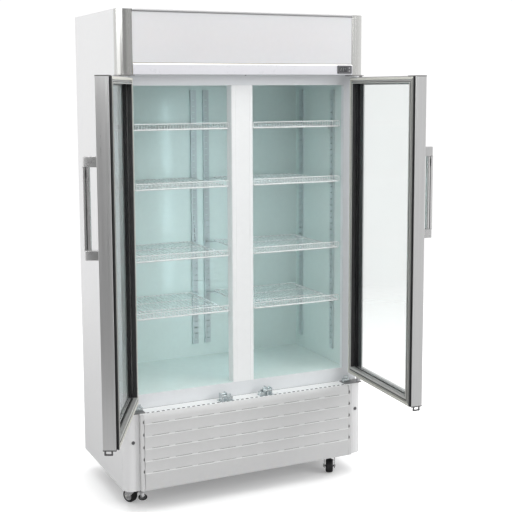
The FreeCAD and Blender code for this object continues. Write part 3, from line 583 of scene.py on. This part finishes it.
# temperature display
g = G()
g.prism([(x, z) for x, z in rrect(DX0, DX1, DZ0, DZ1, 2.2, 4)], "y", -6.5, -3.0, 0)
g.box(DX0 + 4, DX1 - 4, -3.0, 30, DZ0 + 4.5, DZ1 - 4, 0)
make("vis_display_housing", g, [BLACK], "cabinet", replaces=["display_housing"], bevel=0.7, seg=3)
g = G()
o = rrect(DX0 + 4.6, DX1 - 4.6, DZ0 + 4.2, DZ1 - 4.2, 1.6, 4)
i_ = rrect(DX0 + 6.2, DX1 - 6.2, DZ0 + 5.8, DZ1 - 5.8, 1.0, 4)
n = len(o)
for y0, y1 in ((-7.1, -6.4),):
    vs = [(x, y0, z) for x, z in o] + [(x, y0, z) for x, z in i_] + [(x, y1, z) for x, z in o] + [(x, y1, z) for x, z in i_]
    fs = []
    for k in range(n):
        k2 = (k + 1) % n
        fs += [[k, k2, n + k2, n + k], [2 * n + k, 2 * n + k2, k2, k], [n + k, n + k2, 3 * n + k2, 3 * n + k],
               [3 * n + k, 3 * n + k2, 2 * n + k2, 2 * n + k]]
    g.add(vs, fs)
make("vis_display_bezel", g, BEZEL, "cabinet")
g = G()
g.prism(rrect(DX0 + 7, DX0 + 41, DZ0 + 6, DZ1 - 6, 0.8, 3), "y", -6.75, -5.3)
make("vis_display_lens", g, LENS, "cabinet", replaces=["display_lens"], bevel=0.25)
# seven-segment digits, unlit grey with a faint painted glow
g = G()


def digit(x, z, h, on):
    w, t = h * 0.52, h * 0.13
    y0, y1 = -6.95, -6.7
    segs = {"a": (0, w, h - t, h), "d": (0, w, 0, t), "g": (0, w, h / 2 - t / 2, h / 2 + t / 2),
            "f": (0, t, h / 2, h), "b": (w - t, w, h / 2, h), "e": (0, t, 0, h / 2), "c": (w - t, w, 0, h / 2)}
    for k in on:
        a, b, c, d = segs[k]
        g.box(x + a + 0.15, x + b - 0.15, y0, y1, z + c + 0.15, z + d - 0.15)


digit(DX0 + 11, DZ0 + 9.5, 12, "abged")
digit(DX0 + 20.5, DZ0 + 9.5, 12, "abcdg")
g.lathe((DX0 + 31.5, -6.7, DZ0 + 20), (0, -1, 0), [(0, 1.1), (0.25, 1.0)], 12)
digit(DX0 + 34, DZ0 + 13.0, 8, "adef")
make("vis_display_digits", g, DIGIT_GLOW, "cabinet")
for nm, kz, up in (("display_key_up", DZ1 - 10, 1), ("display_key_down", DZ0 + 9.5, -1)):
    kx = DX1 - 11
    g = G()
    g.lathe((kx, 0.4, kz), (0, -1, 0), [(0, 3.1), (7.4, 3.1), (7.85, 2.8), (8.0, 2.3), (7.8, 0.6), (7.8, 0.01)], 24)
    make("vis_" + nm, g, KEY, nm.replace("display_", ""), replaces=[nm], sharp=40)
    g = G()
    g.prism([(kx - 1.3, kz - 0.8 * up), (kx + 1.3, kz - 0.8 * up), (kx, kz + 1.2 * up)], "y", -7.62, -7.3)
    make("vis_" + nm + "_arrow", g, DASH, nm.replace("display_", ""))

# ------------------------------------------------------------------ base
LINES = (289.5, 253.5, 206.0, 158.5, 112.5, 66.5, 2.0)
g = G()
prof = [(-6.0, 2.0), (-16.2, 2.0), (-16.6, 2.4)]
for a in LINES[::-1][1:-1]:
    prof += [(-19.9, a - 2.4), (-20.0, a - 1.0), (-19.7, a - 0.3), (-19.0, a), (-16.2, a + 0.3), (-15.3, a + 0.8), (-15.1, a + 2.0)]
prof += [(-15.3, 268.0), (-14.6, 274.0), (-12.9, 280.0), (-10.2, 285.6), (-7.4, 289.2), (-6.0, 289.5)]
g.prism(prof, "x", 71.0, 929.0)
make("vis_front_grille", g, GRILLE, "cabinet", replaces=["front_grille"], sharp=40)
# solid dark grey strips above each shelf of the louvres: painted shade standing in for narrow air gaps
g = G()
for a in LINES[1:-1]:
    for k in range(9):
        x0 = 100 + k * 90.0
        g.prism(rrect(x0, x0 + 66, a + 1.4, a + 2.8, 0.6, 3), "y", -15.3, -12.0)
make("vis_grille_air_gap_shade", g, SHADE_GREY, "cabinet")
for s, mir in (("left", False), ("right", True)):
    g = G()

    def X(x):
        return 1000 - x if mir else x
    cuts = sorted(LINES[1:-1])
    # outline of the side trim seen from the front, scalloped above every louvre line
    right = [(70.2, 2.0)]
    for a in cuts:
        right += [(72.5 + 8.0 * math.cos(math.radians(d)), a + 8 + 8.0 * math.sin(math.radians(d)))
                  for d in [253.3 - 146.6 * k / 10 for k in range(11)]]
    right += [(70.2, 289.5)]
    outline = [(56.5, 2.0)] + right + [(56.5, 289.5)]
    g.prism([(X(x), zz) for x, zz in outline], "y", -17.0, -8.9)
    g.box(min(X(57), X(71.4)), max(X(57), X(71.4)), -9.0, -6.0, 2, 289.5, 0)
    g.box(min(X(56.15), X(57.4)), max(X(56.15), X(57.4)), -16.4, -0.2, 2, 289.5, 0)
    make("vis_grille_trim_" + s, g, GRILLE, "cabinet", bevel=0.6)
    g = G()
    # dark grey blocks behind the scallops: painted shade in the notches
    for a in cuts:
        g.box(min(X(64.6), X(70.6)), max(X(64.6), X(70.6)), -11.6, -8.9, a + 0.6, a + 15.4)
    make("vis_grille_notch_shade_" + s, g, SHADE_GREY, "cabinet")
g = G()
g.box(57, 943, -9, 5, 2, 4)
make("vis_grille_foot", g, GRILLE, "cabinet", bevel=0.5)

# ledge with its row of slots: plate with real holes and a thin front lip
g = G()
xs = [57.0]
for k in range(42):
    xs += [84 + k * 20.0, 95 + k * 20.0]
xs += [943.0]
ZT, ZB = 291.0, 289.6
g.box(57, 943, 2.8, 53.5, ZB, ZT)
for k in range(0, len(xs), 2):
    g.box(xs[k], xs[k + 1], -6.2, 2.8, ZB, ZT)
g.prism([(-6.2, ZT), (-6.9, ZT - 0.05), (-7.3, ZT - 0.4), (-7.4, ZT - 1.4), (-6.2, ZB)], "x", 57, 943)
g.box(57, 943, 52.3, 53.5, 240, ZB)
make("vis_ledge_cover", g, LEDGE_GLOW, "cabinet", replaces=["ledge_cover"], sharp=30)
g = G()
for k in range(42):
    x0 = 84 + k * 20.0
    g.box(x0 + 0.1, x0 + 10.9, -5.9, 2.7, 288.6, 290.9)
make("vis_ledge_slot_shadow", g, RECESS_SHADE, "cabinet")
# thin dark grey strip where the ledge meets the face: painted shade in the corner
g = G()
g.prism([(51.6, 291.0), (51.9, 291.25), (53.2, 291.25), (53.45, 291.0), (53.45, 290.7), (51.6, 290.7)], "x", 82.0, 918.0)
make("vis_ledge_seam_shade", g, SHADE_GREY, "cabinet")

# screws: two caps on the lower posts, three under the strip, and a set round the back
g = G()
for x in (32.0, 968.0):
    g.lathe((x, 6.0, 185), (0, -1, 0), [(0, 2.6), (6.0, 2.6), (6.0, 6.6), (7.2, 6.6), (8.2, 5.9), (8.7, 4.4), (8.4, 3.6),
                                       (7.6, 3.3), (7.5, 0.01)], 28)
for x in (66.0, 500.0, 934.0):
    g.screw((x, 20, 1516.0), (0, 0, -1), 3.2, 2.4, 0, 1)
make("vis_cover_screws", g, [SCREW, RECESS_SHADE], "cabinet", replaces=["cover_screws"], sharp=40)

g = G()
for x in (12, 340, 660, 988):
    for z in (310, 1730):
        g.screw((x, 530.0, z), (0, 1, 0), 4.0, 2.0)
for z in (620, 940, 1260):
    for x in (12, 988):
        g.screw((x, 530.0, z), (0, 1, 0), 4.0, 2.0)
for x in (14, 330, 670, 986):
    for z in (12, 288):
        g.screw((x, 530.0, z), (0, 1, 0), 4.0, 2.0)
make("vis_back_screws", g, [SCREW_ZN, RECESS_SHADE], "cabinet", sharp=40)
g = G()
g.lathe((910, 520, 45), (0, 1, 0), [(0, 8.9), (9.9, 8.9)], 32)
g.ringlathe((910, 530, 45), (0, 1, 0), [(0, 4.3), (0, 13.0), (1.6, 13.0), (2.6, 11.6), (4.0, 9.6), (4.0, 4.9), (3.4, 4.3)], 36)
make("vis_cord_gland", g, GLAND, "cabinet", replaces=["cord_gland"], sharp=30)

# ------------------------------------------------------------------ machinery
dress("compressor", COMP, 0.0)
dress("condenser_unit", COIL, 0.0)
dress("condenser_fan", FAN, 0.5)
dress("evaporator_cover", PLASTIC, 0.5)
dress("evaporator_coil", COIL, 0.0)
dress("evaporator_fan", FAN, 0.4)

# ------------------------------------------------------------------ mullion, light, shelf furniture
g = G()
mp = [(456.0, 95.5), (456.0, 55.8)] + [(x, y) for x, y in arc(459.0, 55.8, 3.0, 180, 270, 5)][1:]
mp += [(470.0, 52.8), (470.8, 53.6), (472.2, 53.6), (473.0, 52.8), (527.0, 52.8), (527.8, 53.6), (529.2, 53.6), (530.0, 52.8)]
mp += [(x, y) for x, y in arc(541.0, 55.8, 3.0, 270, 360, 5)] + [(544.0, 95.5)]
g.prism(mp, "z", 345.0, 1478.0)
make("vis_centre_mullion", g, MULL, "cabinet", replaces=["centre_mullion"], sharp=30)
g = G()
lp = [(491.0, 95.5), (491.0, 101.0)] + [(500 + 9 * math.cos(math.radians(a)), 101 + 6.4 * math.sin(math.radians(a)))
                                         for a in range(170, 9, -16)] + [(509.0, 101.0), (509.0, 95.5)]
g.prism(lp, "z", 424.0, 1416.0, 0)
for z0, z1 in ((420.0, 424.0), (1416.0, 1420.0)):
    g.box(491, 509, 95.5, 107.5, z0, z1, 1)
make("vis_interior_light", g, [LED, PLASTIC], "cabinet", replaces=["interior_light"], sharp=30)
dress("shelf_pilasters", PILASTER, 0.0)
dress("shelf_clips", PILASTER, 0.3)

SHELF_Z = (620.0, 834.0, 1098.0, 1315.0)
SW, SY0, SD = 378.0, 62.0, 406.0
for s, x0 in (("left", 72.0), ("right", 550.0)):
    g = G()
    for z in SHELF_Z:
        def q(x, y, zz):
            return (x0 + x, SY0 + y, z + zz)
        r = 3.0
        # perimeter rod with rounded corners
        loop = rrect(r, SW - r, r, SD - r, 9.0, 3)
        g.tube([q(x, y, r) for x, y in loop], r, 8, closed=True)
        for y in (SD / 3, 2 * SD / 3):
            g.tube([q(r, y, 2.6), q(SW - r, y, 2.6)], 2.4, 8)
        n = 22
        for k in range(1, n):
            x = SW * k / n
            g.tube([q(x, 1.6, 4.6), q(x, SD - 1.6, 4.6)], 1.4, 6)
        # guard: top rail bent down at both ends, and upright wires
        g.tube([q(2.2, 3.0, 3.0), q(2.2, 2.2, 20.0), q(3.4, 2.2, 23.0), q(6.4, 2.2, 24.2), q(SW - 6.4, 2.2, 24.2),
                q(SW - 3.4, 2.2, 23.0), q(SW - 2.2, 2.2, 20.0), q(SW - 2.2, 3.0, 3.0)], 1.8, 8)
        n = 34
        for k in range(1, n):
            x = SW * k / n
            g.tube([q(x, 1.9, 3.0), q(x, 1.9, 24.0)], 1.15, 6)
    make("vis_shelves_" + s, g, WIRE, "cabinet", replaces=["shelves_" + s], sharp=50)

# ------------------------------------------------------------------ doors
DW, DT, Z0, Z1 = 495.0, 43.5, 328.5, 1508.5
INS = (26.0, 26.0, 33.0, 32.0)
for s in ("left", "right"):
    D = door_map(s)
    body = "door_" + s
    # mitred aluminium rails with a shallow groove along the edge
    g = G()
    rail = [(0.3, 1.2), (1.2, 0.3), (28.6, 0.3), (30.0, 1.5), (30.0, 13.2), (29.2, 14.0), (16.0, 14.0), (16.0, 43.2),
            (1.5, 43.2), (0.3, 42.1), (0.3, 36.6), (0.8, 36.2), (0.8, 35.0), (0.3, 34.6)]
    g.ring(rail, DW, Z0, Z1, 0, 1, gap=0.12)
    make("vis_door_frame_" + s, g, [ALU_V, ALU_H], body, D, replaces=["door_frame_" + s], sharp=25)
    # glass unit
    g = G()
    g.box(17, DW - 17, 14.3, 18.3, Z0 + 17, Z1 - 17)
    g.box(17, DW - 17, 30.3, 34.3, Z0 + 17, Z1 - 17)
    make("vis_door_glass_" + s, g, GLASS, body, D, replaces=["door_glass_" + s], sharp=30)
    g = G()
    sp = [(17.6, 18.6), (25.2, 18.6), (26.0, 19.6), (26.0, 29.0), (25.2, 30.0), (17.6, 30.0)]
    g.loop(sp, DW, Z0, Z1, ins=INS)
    # rows of slots along the top and foot, facing the middle of the pane
    ww = 40.0
    while ww < DW - 46:
        for za, zb in ((Z0 + 32.0, Z0 + 32.4), (Z1 - 26.4, Z1 - 26.0)):
            g.box(ww, ww + 6, 20.2, 23.2, za, zb, 1)
            g.box(ww, ww + 6, 25.6, 28.6, za, zb, 1)
        ww += 10.5
    make("vis_glass_spacer_" + s, g, [SPACER, DASH], body, D, sharp=30)
    # snap-in trim and its black glazing bead
    g = G()
    tp = [(16.4, 34.7), (16.4, 51.2), (16.8, 52.1), (17.4, 52.5), (18.7, 52.5), (18.9, 50.6), (20.9, 50.6), (21.1, 52.5),
          (24.6, 52.5), (25.3, 52.2), (25.5, 51.4), (25.5, 34.7)]
    # the walls and floor of the trim's groove take the near-black slot: painted shade
    g.ring(tp, DW, Z0, Z1, 0, 0, gap=0.1, ins=INS, seg=[0, 0, 0, 0, 1, 1, 1, 0, 0, 0, 0, 0])
    make("vis_door_trim_" + s, g, [DTRIM, GROOVE_BORDER_SHADE], body, D, replaces=["door_trim_" + s], sharp=25)
    g = G()
    bp = [(25.5, 34.6), (25.5, 51.0), (25.9, 50.9)] + [(x, y) for x, y in arc(25.0, 49.6, 1.2, 60, 0, 4)] + \
         [(26.2, 40.4), (25.8, 40.0), (25.8, 39.4), (26.2, 39.0), (26.2, 35.6), (26.0, 34.6)]
    g.loop(bp, DW, Z0, Z1, ins=INS, mside=(0, 0, 0, 1))
    # a row of small lugs along the foot of the bead
    ww = 40.0
    while ww < DW - 46:
        g.box(ww, ww + 5, 35.4, 38.0, Z0 + 31.6, Z0 + 34.0, 0)
        ww += 10.5
    make("vis_glazing_bead_" + s, g, [GASKET, BEADGREY], body, D, sharp=40)
    # gasket: folded bellows under a magnet head
    g = G()
    gp = [(3.6, 43.5), (3.6, 44.6), (5.2, 45.4), (3.4, 46.4), (5.0, 47.4), (3.2, 48.2), (3.0, 49.2), (3.0, 51.6), (3.5, 52.3),
          (4.4, 52.6), (11.6, 52.6), (12.5, 52.3), (13.0, 51.6), (13.0, 49.2), (12.8, 48.2), (11.0, 47.4), (12.6, 46.4),
          (10.8, 45.4), (12.4, 44.6), (12.4, 43.5)]
    seg = [0] * len(gp)
    for k in range(8, len(gp) - 1):
        seg[k] = 1
    # on the free side the face and inner flank take a darker grey copy of the cream: painted shade
    g.loop(gp, DW, Z0, Z1, seg=seg, mside=(1, 1, 2, 1))
    make("vis_door_gasket_" + s, g, [GASKET, GASKET_F, GASKET_FACE_SHADED], body, D, replaces=["door_gasket_" + s], sharp=50)
    # dark end caps on the free stile, and a dark strip behind the outer pane beside the hinge that is painted shade
    g = G()
    for za, zb in ((Z0 - 0.5, Z0 + 3.2), (Z1 - 3.0, Z1 + 0.5)):
        g.prism([(w_, t_) for w_, t_ in rrect(440.0, 495.0, 0.0, 43.5, 1.0, 3)], "z", za, zb)
    make("vis_door_end_caps_" + s, g, CAP_AND_GAP_SHADE, body, D, bevel=0.3)
    g = G()
    g.box(26.4, 54.0, 18.35, 18.75, Z0 + 26.4, Z1 - 26.4)
    make("vis_pane_border_shade_" + s, g, GROOVE_BORDER_SHADE, body, D)
    # pivot bushes, top and bottom
    g = G()
    g.ringlathe((10, 9, Z1), (0, 0, 1), [(-1, 5.3), (-1, 7.6), (1.6, 7.6), (2.2, 7.0), (2.2, 5.3)], 28)
    g.ringlathe((10, 9, Z0), (0, 0, -1), [(-1, 5.3), (-1, 7.6), (1.2, 7.6), (1.7, 7.0), (1.7, 5.3)], 28)
    make("vis_pivot_bush_" + s, g, BUSH, body, D, sharp=30)
    # handle: two blocks and a channel bar
    g = G()
    for z0, z1 in ((934.0, 966.0), (1226.0, 1260.0)):
        g.prism([(444.6, -1.8), (465.4, -1.8), (465.4, -43.6), (464.2, -46.4), (461.2, -47.5), (448.8, -47.5),
                 (445.8, -46.4), (444.6, -43.6)], "z", z0 + 0.6, z1 - 0.6)
        g.prism(rrect(444.0, 466.0, z0, z1, 3.0, 4), "y", -1.8, 0.0)
    make("vis_handle_blocks_" + s, g, HBLOCK, body, D, bevel=1.4, seg=3)
    g = G()
    bar = [(447.0, -30.0), (447.0, -47.6), (447.9, -49.6), (449.9, -50.5), (460.1, -50.5), (462.1, -49.6), (463.0, -47.6),
           (463.0, -45.6), (462.5, -45.2), (462.5, -40.6), (461.0, -40.2), (461.0, -37.8), (462.5, -37.4), (462.5, -32.8),
           (463.0, -32.4), (463.0, -30.0), (462.1, -28.2), (460.4, -27.5), (449.6, -27.5), (447.9, -28.2)]
    g.prism(bar, "z", 966.0, 1226.0)
    make("vis_door_handle_" + s, g, HANDLE, body, D, replaces=["door_handle_" + s], sharp=30)
    # black strip in the bar's groove, a black patch over the groove near its top and black discs on the blocks: painted
    # shade in the recesses
    g = G()
    g.box(460.9, 461.4, -40.2, -37.8, 967, 1225)
    g.prism([(t_, z_) for t_, z_ in rrect(-41.6, -36.4, 1192, 1218, 2.2, 4)], "x", 461.0, 462.7)
    for z in (950.0, 1243.0):
        g.lathe((455, -47.4, z), (0, -1, 0), [(0, 3.2), (0.35, 3.2), (0.5, 2.6), (0.3, 0.01)], 20)
    make("vis_handle_slit_shade_" + s, g, RECESS_SHADE, body, D)
    # dark shadow gap where the bar meets its blocks
    g = G()
    for z0, z1 in ((964.8, 966.6), (1225.4, 1227.2)):
        g.prism(rrect(447.4, 462.7, -50.1, -27.8, 3.0, 4), "z", z0, z1)
    make("vis_handle_joint_" + s, g, CAP_AND_GAP_SHADE, body, D)
    # hasp: loop plate with a foot
    g = G()
    o = [(t, z) for t, z in rrect(3.0, 31.0, 310.0, 328.5, 3.0, 4)]
    i_ = [(t, z) for t, z in rrect(8.5, 25.5, 315.0, 324.0, 2.5, 4)]
    n = len(o)
    vs = [(481.0, t, z) for t, z in o] + [(481.0, t, z) for t, z in i_] + [(485.0, t, z) for t, z in o] + \
         [(485.0, t, z) for t, z in i_]
    fs = []
    for k in range(n):
        k2 = (k + 1) % n
        fs += [[k, k2, n + k2, n + k], [2 * n + k, 2 * n + k2, k2, k], [n + k, n + k2, 3 * n + k2, 3 * n + k],
               [3 * n + k, 3 * n + k2, 2 * n + k2, 2 * n + k]]
    g.add(vs, fs)
    g.box(470, 490, 6, 28, Z0 - 2.0, Z0)
    make("vis_door_hasp_" + s, g, HASP, body, D, replaces=["door_hasp_" + s], bevel=0.8, seg=3)

# ------------------------------------------------------------------ hinges and keepers
dress("hinge_brackets", BRACKET, 0.5)
dress("lock_keepers", KEEPER, 0.4)
g = G()
for mir in (False, True):
    def X(x):
        return 1000 - x if mir else x
    g.screw((X(30), 33, 294.0), (0, 0, 1), 4.2, 2.2)
    g.screw((X(56), 37, 294.0), (0, 0, 1), 3.6, 2.0)
    g.screw((X(30), 33, 1513.0), (0, 0, -1), 4.0, 2.2)
    g.screw((X(52), 33, 1513.0), (0, 0, -1), 4.0, 2.2)
    g.screw((X(380), 4, 293.0), (0, 0, 1), 2.6, 1.6)
    g.screw((X(428), 9, 293.0), (0, 0, 1), 2.6, 1.6)
make("vis_hinge_screws", g, [SCREW_ZN, RECESS_SHADE], "cabinet", sharp=40)
g = G()
for mir in (False, True):
    x = 988.0 if mir else 12.0
    g.lathe((x, 9, 294.0), (0, 0, 1), [(0, 9.6), (1.6, 9.6), (2.6, 8.8), (8.0, 8.8), (8.6, 8.4), (31.6, 8.4), (32.3, 7.9)], 32)
make("vis_hinge_bosses", g, PINSTEEL, "cabinet", sharp=30)

g = G()
for mir in (False, True):
    def X(x):
        return 1000 - x if mir else x
    g.prism([(X(x), y) for x, y in rrect(45.6, 76.4, 15.6, 30.4, 2.0, 3)], "z", 294.1, 308.4)
    g.prism([(X(x), y) for x, y in rrect(51.6, 70.4, 19.6, 26.4, 1.6, 3)], "z", 308.4, 318.4)
    g.lathe((X(61), 15.6, 301.5), (0, -1, 0), [(0, 4.6), (0.9, 4.6), (1.6, 3.8), (1.9, 2.4), (1.6, 0.01)], 24)
make("vis_hinge_stops", g, KEEPER, "cabinet", bevel=0.6)

# ------------------------------------------------------------------ casters
for pos in CASTER:
    C = caster_map(pos)
    az = -58.0
    g = G()
    half = [(15.0, 18.2), (15.0, 20.0), (14.6, 21.5), (13.2, 23.9), (11.2, 25.6), (8.5, 26.7), (6.0, 27.0), (5.6, 26.5),
            (5.0, 26.5), (4.6, 27.0)]
    prof = half + [(-h, r) for h, r in half[::-1]] + [(-12.4, 17.9), (12.4, 17.9)]
    g.ringlathe((32.0, 0, az), (0, 1, 0), prof, 56, 0)
    half = [(13.4, 4.3), (13.4, 7.2), (12.2, 8.0), (11.0, 8.8), (11.0, 15.4), (12.2, 16.2), (12.9, 18.0)]
    g.ringlathe((32.0, 0, az), (0, 1, 0), half + [(-h, r) for h, r in half[::-1]], 48, 1)
    for k in range(6):
        a = math.radians(60 * k)
        for y0, y1 in ((-12.6, -10.6), (10.6, 12.6)):
            vs = []
            for y in (y0, y1):
                for rr, w in ((8.2, 1.5), (16.2, 1.1)):
                    for sgn in (-1, 1):
                        vs.append((32 + rr * math.cos(a) - sgn * w * math.sin(a), y, az + rr * math.sin(a) + sgn * w * math.cos(a)))
            g.add(vs, [[0, 1, 3, 2], [4, 6, 7, 5], [0, 4, 5, 1], [2, 3, 7, 6], [0, 2, 6, 4], [1, 5, 7, 3]], 1)
    make("vis_wheel_" + pos, g, [TYRE, HUB], "wheel_" + pos, C, replaces=["caster_wheel_" + pos],
         sharp=30)
    dress("caster_fork_" + pos, CSTEEL, 0.5)
    g = G()
    for sy in (-1, 1):
        g.lathe((32.0, sy * 22.1, az), (0, sy, 0), [(0, 7.0), (0.8, 6.9), (1.0, 6.0), (2.6, 5.6), (3.2, 4.2), (3.2, 0.01)], 6)
    make("vis_axle_nuts_" + pos, g, SCREW_ZN, "caster_" + pos, C, sharp=30)
    if pos.startswith("front"):
        # pedal: arm on its pin and an oval chrome pad in a black rim
        g = G()
        g.lathe((-12.0, -14.6, -26.0), (0, 1, 0), [(0, 3.0), (0, 4.6), (0.9, 5.5), (28.3, 5.5), (29.2, 4.6), (29.2, 3.0)], 28, 0)
        g.prism([(-14, -22), (-21, -25), (-35, -50), (-35, -54), (-27, -54), (-19, -36), (-12, -31)], "y", -7.0, 7.0, 0)
        ax = (-0.207, 0.230, 0.951)
        g.lathe((-30.2, 0.0, -56.0), ax, [(0.2, 15.6), (0.0, 13.0), (3.9, 13.0), (4.4, 12.4), (4.9, 8.0), (5.0, 0.01)], 40, 0)
        g.ringlathe((-30.2, 0.0, -56.0), ax, [(0.0, 13.2), (0.0, 16.2), (0.8, 17.0), (3.4, 17.0), (4.6, 16.2), (5.2, 14.8),
                                              (4.6, 13.2)], 44, 1)
        make("vis_caster_pedal_" + pos, g, [PEDAL, TYRE], "pedal_" + pos, C, replaces=["caster_pedal_" + pos],
             sharp=35)
dress("caster_plates", CSTEEL, 0.4)

# ------------------------------------------------------------------ floor, light, camera
me = bpy.data.meshes.new("floor")
me.from_pydata([(-30, -30, 0), (30, -30, 0), (30, 30, 0), (-30, 30, 0)], [], [[0, 1, 2, 3]])
floor = bpy.data.objects.new("floor", me)
SC.collection.objects.link(floor)
FLOOR = pbr("floor_pale", (0.93, 0.93, 0.93), 0.75, var=0.006, bump=0.03, bscale=200, spec=0.25, rvar=0.04, emit=(1.0, 1.0, 1.0), estr=0.20)
me.materials.append(FLOOR)
# the floor fades into the white backdrop a few metres out
t = FLOOR.node_tree
out = [n for n in t.nodes if n.type == "OUTPUT_MATERIAL"][0]
bs = [n for n in t.nodes if n.type == "BSDF_PRINCIPLED"][0]
tc = [n for n in t.nodes if n.type == "TEX_COORD"][0]
ln = t.nodes.new("ShaderNodeVectorMath")
ln.operation = "LENGTH"
t.links.new(tc.outputs["Object"], ln.inputs[0])
tr = t.nodes.new("ShaderNodeBsdfTransparent")
mx = t.nodes.new("ShaderNodeMixShader")
rg = _range(t, ln.outputs["Value"], 1.6, 4.2, 0.0, 1.0)
t.links.new(rg, mx.inputs["Fac"])
# the object gets less light back from the floor than the picture shows on it
dim = t.nodes.new("ShaderNodeBsdfDiffuse")
dim.inputs["Color"].default_value = (0.42, 0.42, 0.42, 1.0)
lpf = t.nodes.new("ShaderNodeLightPath")
mxf = t.nodes.new("ShaderNodeMixShader")
t.links.new(lpf.outputs["Is Camera Ray"], mxf.inputs["Fac"])
t.links.new(dim.outputs["BSDF"], mxf.inputs[1])
t.links.new(bs.outputs["BSDF"], mxf.inputs[2])
t.links.new(mxf.outputs["Shader"], mx.inputs[1])
t.links.new(tr.outputs["BSDF"], mx.inputs[2])
t.links.new(mx.outputs["Shader"], out.inputs["Surface"])

w = bpy.data.worlds.new("studio")
SC.world = w
w.use_nodes = True
t = w.node_tree
t.nodes.clear()
out = t.nodes.new("ShaderNodeOutputWorld")
tc = t.nodes.new("ShaderNodeTexCoord")
dt = t.nodes.new("ShaderNodeVectorMath")
dt.operation = "DOT_PRODUCT"
dt.inputs[1].default_value = (-0.0175, -0.99985, 0.0)
t.links.new(tc.outputs["Generated"], dt.inputs[0])
# a darker opening in front, white walls all round
v1 = _range(t, dt.outputs["Value"], 0.30, 0.90, 1.0, 0.84)
v2 = _range(t, dt.outputs["Value"], 0.895, 0.955, 1.0, 0.30)
ml = t.nodes.new("ShaderNodeMath")
ml.operation = "MULTIPLY"
t.links.new(v1, ml.inputs[0])
t.links.new(v2, ml.inputs[1])
val = ml.outputs[0]
room = t.nodes.new("ShaderNodeBackground")
t.links.new(val, room.inputs["Strength"])
room.inputs["Color"].default_value = (1.0, 1.0, 1.0, 1.0)
seen = t.nodes.new("ShaderNodeBackground")
seen.inputs["Color"].default_value = (1.0, 1.0, 1.0, 1.0)
seen.inputs["Strength"].default_value = 1.05
lp = t.nodes.new("ShaderNodeLightPath")
mx = t.nodes.new("ShaderNodeMixShader")
t.links.new(lp.outputs["Is Camera Ray"], mx.inputs["Fac"])
t.links.new(room.outputs["Background"], mx.inputs[1])
t.links.new(seen.outputs["Background"], mx.inputs[2])
t.links.new(mx.outputs["Shader"], out.inputs["Surface"])


def area(name, loc, look, size, power, color=(1, 1, 1), size_y=None):
    d = bpy.data.lights.new(name, "AREA")
    d.shape = "RECTANGLE"
    d.size = size
    d.size_y = size_y or size
    d.energy = power
    d.color = color
    o = bpy.data.objects.new(name, d)
    o.location = loc
    o.rotation_euler = (Vector(look) - Vector(loc)).to_track_quat("-Z", "Y").to_euler()
    SC.collection.objects.link(o)
    return o


area("top_bank", (0.2, -0.6, 4.2), (0, 0, 0.6), 4.5, 97)
o = area("key_right", (3.6, -4.0, 2.4), (0, 0, 0.9), 2.6, 102)
o.visible_glossy = False
area("left_bank", (-4.0, -0.8, 1.8), (0, 0, 0.9), 2.8, 10, size_y=3.2)
# a strip that only shows in reflections, high on the left, and a dark flag low on the left
o = area("left_strip", (-3.456, -1.344, 2.8), (-0.936, 0.406, 1.8), 5.0, 105, size_y=1.4)
o.visible_diffuse = False
o.visible_camera = False
me = bpy.data.meshes.new("flag")
me.from_pydata([(-1.0, -2.70, 0.004), (-2.48, -1.66, 0.004), (-2.48, -1.66, 1.80), (-1.0, -2.70, 1.80)], [], [[0, 1, 2, 3]])
flag = bpy.data.objects.new("flag", me)
SC.collection.objects.link(flag)
FLAG = pbr("flag_grey", (0.06, 0.06, 0.06), 0.9, var=0.05, bump=0.05, emit=(1.0, 1.0, 1.0), estr=0.06)
me.materials.append(FLAG)
for k in ("visible_camera", "visible_diffuse", "visible_shadow", "visible_transmission"):
    setattr(flag, k, False)

# camera solved on the cabinet's edges
YAW, PITCH, ROLL, F, PX, PY = 25.31, -6.81, -0.24, 1033.4, 256.0, 212.0
y_, p_, r_ = (math.radians(v) for v in (YAW, PITCH, ROLL))
fwd = Vector((math.sin(y_) * math.cos(p_), math.cos(y_) * math.cos(p_), math.sin(p_)))
rt = Vector((math.cos(y_), -math.sin(y_), 0))
up = rt.cross(fwd)
right = rt * math.cos(r_) + up * math.sin(r_)
up = right.cross(fwd)
cd = bpy.data.cameras.new("camera")
cam = bpy.data.objects.new("camera", cd)
SC.collection.objects.link(cam)
cd.sensor_fit = "HORIZONTAL"
cd.sensor_width = 36.0
cd.lens = F / 512 * 36
cd.shift_x = (256.0 - PX) / 512
cd.shift_y = (PY - 256.0) / 512
cd.clip_end = 100
loc = P(-1116.4, -3483.2, 1465.7)
cam.matrix_world = Matrix(((right.x, up.x, -fwd.x, loc.x), (right.y, up.y, -fwd.y, loc.y),
                           (right.z, up.z, -fwd.z, loc.z), (0, 0, 0, 1)))
SC.camera = cam
SC.view_settings.view_transform = "Standard"
SC.view_settings.look = "None"
